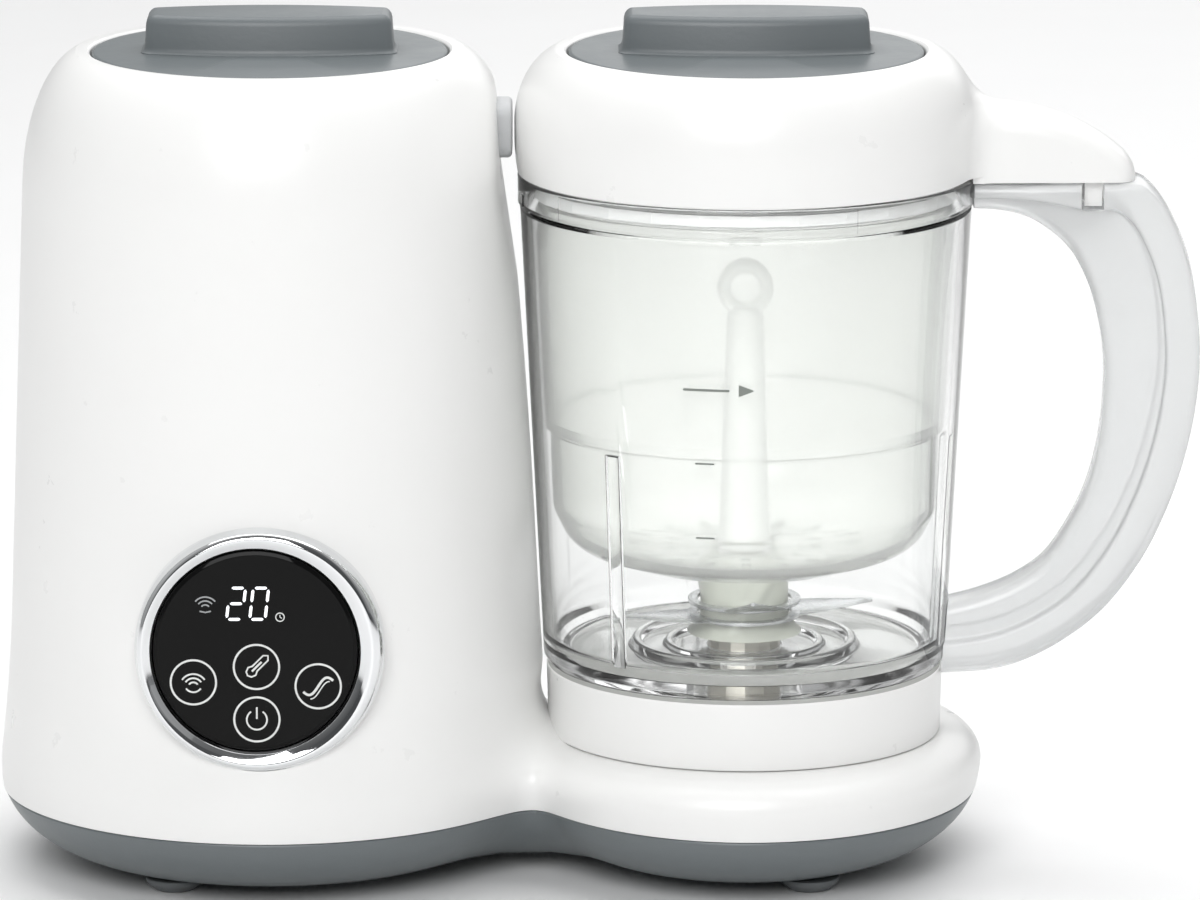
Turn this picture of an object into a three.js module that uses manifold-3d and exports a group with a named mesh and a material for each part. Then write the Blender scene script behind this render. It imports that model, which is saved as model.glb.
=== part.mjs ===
// A baby food maker: a steaming tower and a blending jug side by side on one waisted base.
// Millimetres, +Z up, +X towards the jug's handle, -Y towards the user. The origin is at the centre of the
// object's footprint, on the surface it stands on.
import * as THREE from "three";
import { mergeVertices } from "three/addons/utils/BufferGeometryUtils.js";
import Module from "manifold-3d";

const wasm = await Module();
wasm.setup();

// ---- Driving dimensions ----
const TOWER_REACH = 69.3; // tower axis to the object's left end
const AXIS_GAP = 119.55; // tower axis to jug axis
const HANDLE_REACH = 114.45; // jug axis to the handle's outer edge
const LENGTH = TOWER_REACH + AXIS_GAP + HANDLE_REACH;
const TOWER_X = TOWER_REACH - LENGTH / 2;
const JUG_X = TOWER_X + AXIS_GAP;
const TOWER_HALF_DEPTH = 69.3; // of the tower's foot, front and back
const JUG_HALF_LENGTH = 59.9; // of the base around the jug, left and right
const JUG_HALF_DEPTH = 67; // and front and back
const WAIST_BLEND = 26; // how much the two lobes run into each other

const BOTTOM_Z = 3.5; // underside of the tray, above the feet
const SPLIT_Z = 18.5; // parting line of tray and housing
const WIDEST_Z = 27;
const DECK_Z = 33.8; // top of the base, where the jug stands
const BOSS_Z = 44.5; // top of the round boss inside the jug's collar
const TOP_Z = 207.5; // tower top, lid top and both caps
const LEDGE_Z = 203.6; // the ledge that each cap rests on
const WALL = 2.5; // white mouldings
const GAP = 0.3; // between neighbouring pieces

const CAP_R = 44.8;
const NECK_R = 38.2; // inside the tank's and the lid's filling necks
const COLLAR_R = 50.3;
const COLLAR_TOP = 49.4;
const FLOOR_Z = 51; // underside of the clear jug
const JUG_FOOT_R = 50.9;
const JUG_MOUTH_R = 57;
const BAND_Z = 168.6; // bottom of the jug's rim band
const RIM_Z = 176.4;
const BAND_R = 57.5;
const JUG_WALL = 2.4;
const LID_R = 58.5;
const STEAM_Z = 187.6; // height of the steam outlet
const PANEL_Z = 68.6;
const PANEL_X = TOWER_X - 0.8; // it sits a little left of the tower's axis
const PANEL_Y = -69; // front face of the panel's ring

const BIG = 28; // sides of a large round piece
const MID = 16;
const SMALL = 10;

// ---- Materials ----
function material(colour, roughness, metalness = 0, opacity = 1) {
  return new THREE.MeshStandardMaterial({
    color: colour,
    roughness,
    metalness,
    opacity,
    transparent: opacity < 1,
  });
}
const white = material(0xf2f2f0, 0.28);
const grey = material(0x6f7679, 0.42);
const clear = material(0xdfe5e2, 0.08, 0, 0.3);
const milky = material(0xe6e8e6, 0.3, 0, 0.6);
const frosted = material(0xc9cfc4, 0.35, 0, 0.55);
const chrome = material(0xd8dcdc, 0.08, 1);
const black = material(0x0a0b0b, 0.05);
const steel = material(0xb9bcbe, 0.25, 1);
const zinc = material(0x8d9294, 0.45, 1);
const rubber = material(0x4a4f51, 0.8);
const silicone = material(0xbfc3c4, 0.6);
const board = material(0x2f6a45, 0.6);
const brass = material(0xc2a25a, 0.35, 1);

// ---- Geometry helpers ----
const group = new THREE.Group();

function add(name, geometry, look) {
  const mesh = new THREE.Mesh(geometry, look);
  mesh.name = name;
  group.add(mesh);
}

// A closed geometry as a manifold-3d solid, for cutting and joining.
function solid(geometry) {
  const bare = new THREE.BufferGeometry();
  bare.setAttribute("position", geometry.getAttribute("position").clone());
  if (geometry.index) bare.setIndex(geometry.index.clone());
  const merged = mergeVertices(bare, 1e-3);
  return new wasm.Manifold(
    new wasm.Mesh({
      numProp: 3,
      vertProperties: new Float32Array(merged.attributes.position.array),
      triVerts: new Uint32Array(merged.index.array),
    }),
  );
}

function geometryOf(body) {
  const mesh = body.getMesh();
  const geometry = new THREE.BufferGeometry();
  geometry.setAttribute("position", new THREE.BufferAttribute(mesh.vertProperties, 3));
  geometry.setIndex(new THREE.BufferAttribute(mesh.triVerts, 1));
  return geometry;
}

const join = (first, ...others) => others.reduce((body, other) => body.add(other), first);
const cut = (first, ...others) => others.reduce((body, other) => body.subtract(other), first);

// A profile of [radius, height] points turned about the vertical line at x, y. Points run anticlockwise,
// seen with the radius to the right and the height up, and the profile closes on itself or on the axis.
function turned(points, x, y = 0, sides = MID) {
  const profile = points.map(([r, z]) => new THREE.Vector2(r, z));
  if (points[0][0] > 0) profile.push(profile[0].clone());
  return new THREE.LatheGeometry(profile, sides).rotateX(Math.PI / 2).translate(x, y, 0);
}

const disc = (r, z0, z1, x, y = 0, sides = MID) =>
  turned([[0, z0], [r, z0], [r, z1], [0, z1]], x, y, sides);

const tube = (r0, r1, z0, z1, x, y = 0, sides = MID) =>
  turned([[r0, z0], [r1, z0], [r1, z1], [r0, z1]], x, y, sides);

const box = (x0, x1, y0, y1, z0, z1) =>
  new THREE.BoxGeometry(x1 - x0, y1 - y0, z1 - z0).translate((x0 + x1) / 2, (y0 + y1) / 2, (z0 + z1) / 2);

// A flat shape in the XZ plane, extruded to both sides of y = 0.
function slab(shape, halfWidth, curveSegments = 6) {
  return new THREE.ExtrudeGeometry(shape, { depth: 2 * halfWidth, bevelEnabled: false, curveSegments })
    .translate(0, 0, -halfWidth)
    .rotateX(Math.PI / 2);
}

// Rings of as many points each, bottom to top and anticlockwise from above, skinned and closed at both ends.
function loft(rings) {
  const n = rings[0].length;
  const positions = rings.flat().flatMap((p) => [p.x, p.y, p.z]);
  const index = [];
  for (let k = 0; k + 1 < rings.length; k++) {
    for (let i = 0; i < n; i++) {
      const a = k * n + i;
      const b = k * n + ((i + 1) % n);
      index.push(a, b, b + n, a, b + n, a + n);
    }
  }
  for (const [ring, up] of [[0, false], [rings.length - 1, true]]) {
    const centre = positions.length / 3;
    positions.push(TOWER_X + capCentre(rings[ring]), 0, rings[ring][0].z);
    for (let i = 0; i < n; i++) {
      const a = ring * n + i;
      const b = ring * n + ((i + 1) % n);
      index.push(...(up ? [a, b, centre] : [b, a, centre]));
    }
  }
  const geometry = new THREE.BufferGeometry();
  geometry.setAttribute("position", new THREE.Float32BufferAttribute(positions, 3));
  geometry.setIndex(index);
  return geometry;
}

// A ring that reaches past the tower is a base outline, which is seen whole from the waist between its lobes.
const capCentre = (ring) => (Math.max(...ring.map((p) => p.x)) > JUG_X ? WAIST_X : 0);

// ---- The base's outline: two lobes run together, written as a distance that is 0 on the line ----
const WAIST_X = 64; // from the tower axis to the middle of the waist

function lobes(x, y) {
  const tower = (Math.hypot(x / TOWER_REACH, y / TOWER_HALF_DEPTH) - 1) * TOWER_REACH;
  const jug = (Math.hypot((x - AXIS_GAP) / JUG_HALF_LENGTH, y / JUG_HALF_DEPTH) - 1) * JUG_HALF_LENGTH;
  const share = Math.max(WAIST_BLEND - Math.abs(tower - jug), 0) / WAIST_BLEND;
  return Math.min(tower, jug) - (share * share * WAIST_BLEND) / 4;
}

function outlinePoint(angle) {
  let low = 0;
  let high = LENGTH;
  for (let i = 0; i < 40; i++) {
    const r = (low + high) / 2;
    if (lobes(WAIST_X + r * Math.cos(angle), r * Math.sin(angle)) < 0) low = r;
    else high = r;
  }
  return new THREE.Vector2(WAIST_X + low * Math.cos(angle), low * Math.sin(angle));
}

function outlineNormal({ x, y }) {
  const step = 0.01;
  const across = lobes(x + step, y) - lobes(x - step, y);
  const along = lobes(x, y + step) - lobes(x, y - step);
  return new THREE.Vector2(across, along).normalize();
}

// The outline as evenly spaced points, each with the direction that leads out of the base there.
const OUTLINE_POINTS = 44;
const outline = (() => {
  const fine = Array.from({ length: 1441 }, (_, i) => outlinePoint((Math.PI * i) / 720));
  const along = [0];
  for (let i = 1; i < fine.length; i++) along.push(along[i - 1] + fine[i].distanceTo(fine[i - 1]));
  const around = along[fine.length - 1];
  return Array.from({ length: OUTLINE_POINTS }, (_, k) => {
    const point = fine[along.findIndex((length) => length >= (around * k) / OUTLINE_POINTS)];
    return { point, out: outlineNormal(point) };
  });
})();

const baseRing = (inset, z) =>
  outline.map(({ point, out }) =>
    new THREE.Vector3(TOWER_X + point.x - inset * out.x, point.y - inset * out.y, z));

// ---- The tower: [height, radius, reach to the right], foot to top. Its right side is flattened for the jug ----
const TOWER_SECTIONS = [
  [SPLIT_Z, 68.3, 68.8],
  [WIDEST_Z, TOWER_REACH, 69.6],
  [36, 68.7, 68.6],
  [60, 66.8, 66.4],
  [110, 64.8, 63.4],
  [152, 63.3, 61.2],
  [181, 62.1, 58],
  [191, 60.3, 57.2],
  [199, 57.3, 56],
  [204.5, 53.4, 53],
  [TOP_Z, 49.2, 49.2],
];

function towerRing([z, radius, right], inset) {
  return Array.from({ length: BIG }, (_, i) => {
    const t = (2 * Math.PI * i) / BIG;
    const reach = Math.cos(t) > 0 ? right : radius;
    return new THREE.Vector3(
      TOWER_X + (reach - inset) * Math.cos(t),
      (radius - inset) * Math.sin(t),
      z,
    );
  });
}

// ---- White housing: tower, deck and boss in one moulding, open underneath ----
const DECK_EDGE = [[1.3, SPLIT_Z], [0, WIDEST_Z], [2.4, 31], [5.6, 33], [9.8, DECK_Z]]; // [inset, height]
const WELL_R = 16; // the boss's hollow round the drive coupling
const BOSS_R = 44;
const NOSE_R = 10.6; // hole that the spindle housing's nose comes up through
const PILLARS = [
  [TOWER_X - 44, 24],
  [TOWER_X - 44, -24],
  [JUG_X + 40, 22],
  [JUG_X + 40, -22],
];
const CORD_Z = 27;

function housing() {
  const outer = join(
    solid(loft(TOWER_SECTIONS.map((s) => towerRing(s, 0)))),
    solid(loft(DECK_EDGE.map(([inset, z]) => baseRing(inset, z)))),
    solid(disc(BOSS_R, DECK_Z - 1, BOSS_Z, JUG_X, 0, BIG)),
  );
  const under = SPLIT_Z - 1;
  const towerInside = TOWER_SECTIONS.slice(1, -1).map((s) => towerRing(s, WALL));
  const deckInside = [
    baseRing(3.8, under),
    baseRing(3.2, WIDEST_Z),
    baseRing(6.5, DECK_Z - WALL),
  ];
  const inside = join(
    solid(loft([towerRing([under, 65.6, 66], 0), ...towerInside])),
    solid(loft(deckInside)),
    solid(disc(BOSS_R - WALL, DECK_Z - WALL - 1, BOSS_Z - WALL, JUG_X, 0, BIG)),
  );
  const well = disc(WELL_R + WALL, DECK_Z - WALL, BOSS_Z - 1, JUG_X);
  const pillars = PILLARS.map(([x, y]) => solid(disc(4, SPLIT_Z, DECK_Z - 1, x, y, SMALL)));
  // Inside the tower there is no deck above a pillar, so a web ties it to the wall.
  const webs = PILLARS.slice(0, 2).map(([x, y]) => {
    const reach = Math.hypot(x - TOWER_X, y);
    const web = box(reach, TOWER_REACH - 1.5, -1, 1, SPLIT_Z + 1, DECK_Z - 1);
    return solid(web.rotateZ(Math.atan2(y, x - TOWER_X)).translate(TOWER_X, 0, 0));
  });
  const shell = join(cut(outer, inside), solid(well), ...pillars, ...webs);
  return cut(
    shell,
    solid(disc(CAP_R + 0.6, LEDGE_Z, TOP_Z + 1, TOWER_X, 0, BIG)),
    solid(disc(NECK_R + 1.8, 190, TOP_Z, TOWER_X, 0, BIG)),
    solid(disc(WELL_R, DECK_Z, BOSS_Z + 1, JUG_X)),
    solid(disc(NOSE_R, DECK_Z - WALL - 1, DECK_Z + 1, JUG_X)),
    solid(facing(disc(PANEL_HOLE_R, 40, 80, 0, 0, BIG))),
    solid(disc(STEAM_HOLE_R, 40, 80, 0, 0, MID).rotateY(Math.PI / 2).translate(TOWER_X, 0, STEAM_Z)),
    solid(disc(CORD_HOLE_R, 55, 80, 0, 0, MID).rotateX(-Math.PI / 2).translate(TOWER_X, 0, CORD_Z)),
    ...PILLARS.map(([x, y]) => solid(disc(1.8, SPLIT_Z - 1, DECK_Z - 4, x, y, SMALL))),
  );
}

// Turns a piece built about +Z so that its axis points at the user, at the panel's height.
const facing = (geometry) => geometry.rotateX(Math.PI / 2).translate(PANEL_X, 0, PANEL_Z);
const BEZEL_R = 30.9;
const PANEL_HOLE_R = BEZEL_R + GAP;
const STEAM_HOLE_R = 7.4;
const CORD_HOLE_R = 5.9;

// ---- Grey tray: the skirt and floor under the housing ----
const SKIRT = [[16, BOTTOM_Z], [10.5, 5.6], [6, 10], [2.6, 15], [1.3, SPLIT_Z - GAP]];
const FEET = [
  [TOWER_X - 24, -38],
  [TOWER_X - 24, 38],
  [JUG_X + 16, -38],
  [JUG_X + 16, 38],
];
const MOTOR_POSTS = [60, 180, 300].map((degrees) => {
  const angle = THREE.MathUtils.degToRad(degrees);
  return [TOWER_X + 36 * Math.cos(angle), 36 * Math.sin(angle)];
});
const MOTOR_PLATE_Z = 22.5;
const SCREW_SEAT_Z = 8.2;

function tray() {
  const floor = BOTTOM_Z + 2.2;
  const inside = loft([
    baseRing(15, floor),
    baseRing(9, 9),
    baseRing(5.4, 15),
    baseRing(4.4, SPLIT_Z + 1),
  ]);
  const posts = MOTOR_POSTS.map(([x, y]) => solid(disc(4, BOTTOM_Z + 1, MOTOR_PLATE_Z - GAP, x, y, SMALL)));
  const seats = PILLARS.map(([x, y]) => solid(disc(4.6, BOTTOM_Z + 1, SPLIT_Z - GAP, x, y, SMALL)));
  return cut(
    join(cut(solid(loft(SKIRT.map(([inset, z]) => baseRing(inset, z)))), solid(inside)), ...posts, ...seats),
    ...FEET.map(([x, y]) => solid(disc(2.5, BOTTOM_Z - 1, floor + 2, x, y, SMALL))),
    ...MOTOR_POSTS.map(([x, y]) => solid(disc(1.8, 11, MOTOR_PLATE_Z + 1, x, y, SMALL))),
    ...PILLARS.map(([x, y]) => solid(disc(1.8, BOTTOM_Z - 1, SPLIT_Z + 1, x, y, SMALL))),
    ...PILLARS.map(([x, y]) => solid(disc(3.5, BOTTOM_Z - 1, SCREW_SEAT_Z, x, y, SMALL))),
  );
}

const foot = (x, y) =>
  turned(
    [[0, 0], [5.2, 0], [6.3, 1.3], [6.3, BOTTOM_Z - GAP], [2.2, BOTTOM_Z - GAP], [2.2, 7], [0, 7]],
    x,
    y,
    12,
  );

const screw = (x, y, headZ, tipZ, headR = 3.1, shankR = 1.45) => {
  const sign = Math.sign(tipZ - headZ);
  const seat = headZ + sign * 2;
  const profile = [[0, headZ], [headR, headZ], [headR, seat], [shankR, seat], [shankR, tipZ], [0, tipZ]];
  return turned(sign > 0 ? profile : profile.reverse(), x, y, 8);
};

// ---- Control panel on the tower's front ----
const GLASS_R = 25.8;

const bezel = () =>
  facing(
    turned(
      [
        [26.2, 63], [28.4, 63], [28.4, 56], [BEZEL_R, 56], [BEZEL_R, 66.8], [BEZEL_R - 1, 68.3],
        [28.2, -PANEL_Y], [26.2, 67.9],
      ],
      0,
      0,
      BIG,
    ),
  );

// ---- Filling cap: a grey disc with a bow-fronted grip, its plug and its seal. Tank and lid have one each ----
const GRIP_HALF = 31.2; // half its length
const GRIP_MID = 12.5; // half its depth in the middle
const GRIP_END = 7.4; // half its depth at the ends
const GRIP_H = 10;

function cap(x) {
  const grip = new THREE.Shape();
  grip.moveTo(-GRIP_HALF, -GRIP_END);
  grip.quadraticCurveTo(0, GRIP_END - 2 * GRIP_MID, GRIP_HALF, -GRIP_END);
  grip.lineTo(GRIP_HALF, GRIP_END);
  grip.quadraticCurveTo(0, 2 * GRIP_MID - GRIP_END, -GRIP_HALF, GRIP_END);
  const bar = new THREE.ExtrudeGeometry(grip, {
    depth: GRIP_H - 0.6,
    bevelEnabled: true,
    bevelSize: 1.6,
    bevelOffset: -1.6,
    bevelThickness: 1.6,
    bevelSegments: 1,
    curveSegments: 8,
  }).translate(x, 0, TOP_Z - 1);
  const top = cut(solid(bar), solid(box(x - 60, x + 60, -30, 30, TOP_Z - 10, TOP_Z - 0.5)));
  return join(solid(disc(CAP_R, LEDGE_Z + GAP, TOP_Z, x, 0, BIG)), top);
}

const PLUG_TOP = LEDGE_Z;
const plug = (x) =>
  turned(
    [
      [0, PLUG_TOP - 2], [31.6, PLUG_TOP - 2], [31.6, 189], [34, 189], [34, 195.6],
      [33, 195.6], [33, 199.4], [34, 199.4], [36, 200.5], [36, PLUG_TOP], [0, PLUG_TOP],
    ],
    x,
    0,
    BIG,
  );
const plugSeal = (x) => tube(33.3, NECK_R - GAP, 196, 199, x, 0, BIG);

// ---- Water tank and heater inside the tower ----
const TANK_R = 43;
const TANK_Z = 104;

const tank = () =>
  cut(
    solid(
      turned(
        [
          [0, TANK_Z], [TANK_R, TANK_Z], [TANK_R, 176], [NECK_R + 1.4, 184], [NECK_R + 1.4, 197.5], [43.5, 197.5],
          [43.5, 200.6], [NECK_R + 1.4, 200.6], [NECK_R + 1.4, LEDGE_Z - GAP], [NECK_R, LEDGE_Z - GAP],
          [NECK_R, 184.6],
          [TANK_R - 1.5, 176.6], [TANK_R - 1.5, TANK_Z + 1.5], [0, TANK_Z + 1.5],
        ],
        TOWER_X,
        0,
        BIG,
      ),
    ),
    solid(disc(2.6, 30, 50, 0, 0, SMALL).rotateY(Math.PI / 2).translate(TOWER_X, 0, STEAM_Z)),
  );

// ---- Steam outlet between the tower and the lid ----
const OUTLET_END = AXIS_GAP - LID_R - 0.5; // from the tower axis

const alongX = (geometry) => geometry.rotateY(Math.PI / 2).translate(TOWER_X, 0, STEAM_Z);
const steamPipe = () => alongX(tube(2.3, 4.2, NECK_R + 1.9, 52, 0, 0, SMALL));

function steamOutlet() {
  const face = new THREE.Shape();
  const half = 6.8; // half height, and the radius of its round ends
  const flat = 3.4;
  face.absarc(flat, 0, half, -Math.PI / 2, Math.PI / 2, false);
  face.absarc(-flat, 0, half, Math.PI / 2, (3 * Math.PI) / 2, false);
  const start = 58.7; // just outside the tower's flat side
  const pad = new THREE.ExtrudeGeometry(face, { depth: OUTLET_END - start, bevelEnabled: false, curveSegments: 8 })
    .rotateZ(Math.PI / 2)
    .rotateY(Math.PI / 2)
    .translate(TOWER_X + start, 0, STEAM_Z);
  const stem = alongX(disc(6.8, 52.3, start + 0.5, 0, 0, MID));
  return cut(join(solid(pad), solid(stem)), solid(alongX(disc(2.6, 50, 70, 0, 0, SMALL))));
}

// ---- Motor and belt drive ----
const MOTOR_R = 26;
const MOTOR_Z0 = 25.8;
const MOTOR_Z1 = 86;
const BELT_Z0 = 10.8;
const BELT_Z1 = 16.2;
const DRIVEN_R = 20; // the driven pulley under the belt
const DRIVER_R = 8; // the motor pulley under the belt
const BELT = 1.5;

const motorCan = () =>
  turned(
    [
      [6, MOTOR_Z0], [MOTOR_R, MOTOR_Z0], [MOTOR_R, MOTOR_Z1], [6, MOTOR_Z1],
      [6, MOTOR_Z1 - 2], [MOTOR_R - 1.7, MOTOR_Z1 - 2], [MOTOR_R - 1.7, MOTOR_Z0 + 2], [6, MOTOR_Z0 + 2],
    ],
    TOWER_X,
    0,
    MID,
  );

const pulley = (r, flange, bore, x) =>
  turned(
    [
      [bore, 9.4], [flange, 9.4], [flange, BELT_Z0 - GAP], [r, BELT_Z0 - GAP],
      [r, BELT_Z1 + GAP], [flange, BELT_Z1 + GAP], [flange, 17.6], [bore, 17.6],
    ],
    x,
    0,
    MID,
  );

function motorPlate() {
  const ears = MOTOR_POSTS.map(([x, y]) => solid(disc(6, MOTOR_PLATE_Z, MOTOR_Z0 - GAP, x, y, SMALL)));
  const holes = MOTOR_POSTS.map(([x, y]) => solid(disc(1.8, MOTOR_PLATE_Z - 1, MOTOR_Z0, x, y, SMALL)));
  const plate = join(solid(disc(32, MOTOR_PLATE_Z, MOTOR_Z0 - GAP, TOWER_X)), ...ears);
  return cut(plate, solid(disc(8, MOTOR_PLATE_Z - 1, MOTOR_Z0, TOWER_X)), ...holes);
}

// The belt's outline: an arc round each pulley, joined by the two outer tangents.
function beltShape(thickness) {
  const small = DRIVER_R + GAP + thickness;
  const large = DRIVEN_R + GAP + thickness;
  const lean = Math.acos((large - small) / AXIS_GAP);
  const shape = new THREE.Shape();
  shape.absarc(0, 0, small, Math.PI - lean, Math.PI + lean, false);
  shape.absarc(AXIS_GAP, 0, large, Math.PI + lean, 3 * Math.PI - lean, false);
  return shape;
}

function belt() {
  const band = (thickness, z0, z1) =>
    new THREE.ExtrudeGeometry(beltShape(thickness), { depth: z1 - z0, bevelEnabled: false, curveSegments: 14 })
      .translate(TOWER_X, 0, z0);
  return cut(solid(band(BELT, BELT_Z0, BELT_Z1)), solid(band(0, BELT_Z0 - 1, BELT_Z1 + 1)));
}

// ---- Spindle under the jug ----
const SHAFT_R = 3;
const spindleHousing = () =>
  turned(
    [
      [5.3, 19], [10, 19], [10, 27.6], [21, 27.6], [21, DECK_Z - WALL - GAP], [10, DECK_Z - WALL - GAP],
      [10, DECK_Z - 0.3], [5.3, DECK_Z - 0.3],
    ],
    JUG_X,
  );
const bush = (z0, z1, inner, outer, x) => tube(inner, outer, z0, z1, x, 0, 16);

// A six-armed dog, as a shape about the origin.
const DOG_ARMS = 6;
function dogShape(inner, outer) {
  const shape = new THREE.Shape();
  for (let i = 0; i < DOG_ARMS; i++) {
    const middle = (2 * Math.PI * i) / DOG_ARMS;
    for (const [r, turn] of [[inner, -0.3], [outer, -0.18], [outer, 0.18], [inner, 0.3]]) {
      const x = r * Math.cos(middle + turn);
      const y = r * Math.sin(middle + turn);
      if (i === 0 && turn === -0.3) shape.moveTo(x, y);
      else shape.lineTo(x, y);
    }
  }
  return shape;
}

const dog = (inner, outer, z0, z1) =>
  new THREE.ExtrudeGeometry(dogShape(inner, outer), { depth: z1 - z0, bevelEnabled: false })
    .translate(JUG_X, 0, z0);

const COUPLER_TOP = 40.2;
const driveCoupler = () =>
  cut(solid(dog(6, 8.6, DECK_Z + 0.6, COUPLER_TOP)), solid(disc(SHAFT_R + GAP, 30, 45, JUG_X, 0, 16)));

const BLADE_SHAFT_R = 3.6;
const SOCKET_TOP = 41.4;
const drivenSocket = () =>
  cut(
    solid(disc(12.6, 35, 45.2, JUG_X)),
    solid(dog(6.5, 9.1, 34, SOCKET_TOP)),
    solid(disc(BLADE_SHAFT_R + GAP, 34, 47, JUG_X, 0, 16)),
  );

// ---- Jug: clear body, handle, white collar ----
const RIB_TOP = 111.6;
const RIB_ANGLES = [-135, -15, 105];
const RIB_DEPTH = 1.5;
const SLOPE = (JUG_MOUTH_R - JUG_FOOT_R) / (BAND_Z - 2 - FLOOR_Z);
const wallInside = (z) => JUG_FOOT_R + SLOPE * (z - FLOOR_Z) - JUG_WALL;
const BEARING_R = 9.2;

function jug() {
  const shell = turned(
    [
      [BEARING_R + GAP, FLOOR_Z], [JUG_FOOT_R - 0.8, FLOOR_Z], [JUG_FOOT_R, FLOOR_Z + 1.4],
      [JUG_MOUTH_R, BAND_Z - 2], [BAND_R, BAND_Z], [BAND_R, RIM_Z], [BAND_R - 2.5, RIM_Z],
      [BAND_R - 2.5, BAND_Z + 1.6], [wallInside(BAND_Z - 1), BAND_Z - 0.4], [wallInside(58), 58],
      [wallInside(55) - 2, 54.6], [27.5, 54], [27.5, 56], [25.5, 56], [25.5, 54], [BEARING_R + GAP, 54],
    ],
    JUG_X,
    0,
    BIG,
  );
  const ribs = RIB_ANGLES.map((degrees) => {
    const rib = new THREE.Shape();
    rib.moveTo(wallInside(55) - 2, 54);
    rib.lineTo(wallInside(55) + 1.2, 54);
    rib.lineTo(wallInside(RIB_TOP) + 1, RIB_TOP);
    rib.lineTo(wallInside(RIB_TOP) - RIB_DEPTH, RIB_TOP);
    rib.lineTo(wallInside(60) - RIB_DEPTH, 60);
    return solid(slab(rib, 2).rotateZ(THREE.MathUtils.degToRad(degrees)).translate(JUG_X, 0, 0));
  });
  return join(solid(shell), ...ribs);
}

const collar = () =>
  turned(
    [
      [COLLAR_R - 3, DECK_Z + GAP], [COLLAR_R - 0.2, DECK_Z + GAP], [COLLAR_R, COLLAR_TOP],
      [COLLAR_R, FLOOR_Z - GAP], [13.6, FLOOR_Z - GAP], [13.6, COLLAR_TOP - 1], [COLLAR_R - 3, COLLAR_TOP - 1],
    ],
    JUG_X,
    0,
    BIG,
  );

// Handle outlines, as [distance from the jug axis, height].
const HANDLE_OUT = [
  [99.2, 174.6], [108, 163.5], [113.2, 147], [114.6, 129.5], [112.6, 111], [106.2, 92], [95.1, 74], [78.6, 60],
  [62.6, 54], [51, 52.4],
];
const HANDLE_IN = [
  [51.6, 64.8], [60.6, 66.6], [72.6, 73], [83.2, 86], [89.4, 103], [91.3, 122], [90, 140], [85.2, 155.4],
  [77.6, 163.6], [68.6, 167.2], [59, 168],
];
const HANDLE_SPLIT = [
  [92.6, 168], [101.2, 157], [105.2, 143], [106.4, 128], [104.2, 110], [97.2, 91], [86.2, 75.4], [72.6, 65],
  [60.6, 60], [51.3, 58.6],
];
const HANDLE_TOP = 174.6;
const HOOK_X0 = 85.2;
const HOOK_X1 = 89.6;
const HOOK_Z = 168.6;
const HOOK_SIDES = 96; // the hook and its pocket curve about the jug axis, so that the lid can turn

const points2 = (list) => list.map(([x, z]) => new THREE.Vector2(JUG_X + x, z));

function between(outer, inner, top) {
  const shape = new THREE.Shape();
  shape.moveTo(JUG_X + top[0][0], top[0][1]);
  for (const [x, z] of top.slice(1)) shape.lineTo(JUG_X + x, z);
  shape.splineThru(points2(outer.slice(1)));
  shape.lineTo(JUG_X + inner[0][0], inner[0][1]);
  shape.splineThru(points2(inner.slice(1)));
  return shape;
}

function handle() {
  const web = between(HANDLE_OUT, HANDLE_IN, [[58.2, HANDLE_TOP], [98.6, HANDLE_TOP], HANDLE_OUT[0]]);
  const reversed = [...HANDLE_SPLIT].reverse();
  const flange = between(HANDLE_OUT, reversed, [[92.6, HANDLE_TOP], [98.6, HANDLE_TOP], HANDLE_OUT[0]]);
  const pocket = tube(HOOK_X0 - 0.5, HOOK_X1 + 0.7, HOOK_Z - 0.6, HANDLE_TOP + 1, JUG_X, 0, HOOK_SIDES);
  return cut(
    join(solid(slab(web, 8, 3)), solid(slab(flange, 11, 3))),
    solid(pocket),
    solid(
      turned(
        [
          [0, 40], [JUG_FOOT_R + 0.35, 40], [JUG_FOOT_R + 0.35, FLOOR_Z + 1.4], [JUG_MOUTH_R + 0.35, BAND_Z - 2],
          [BAND_R + 0.35, BAND_Z], [BAND_R + 0.35, RIM_Z + 5], [0, RIM_Z + 5],
        ],
        JUG_X,
        0,
        BIG,
      ),
    ),
  );
}

// ---- Blade unit ----
const bladeBearing = () => tube(BLADE_SHAFT_R + GAP, BEARING_R, 46, 57, JUG_X, 0, MID);
const HUB_TOP = 75;
const HUB_R = 11.2;

const bladeHub = () =>
  turned(
    [
      [0, 69.2], [BLADE_SHAFT_R + GAP, 69.2], [BLADE_SHAFT_R + GAP, 57.6], [15, 57.6], [12.4, 60.6], [HUB_R, 61],
      [HUB_R, HUB_TOP - 2], [HUB_R - 2, HUB_TOP], [0, HUB_TOP],
    ],
    JUG_X,
  );

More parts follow.
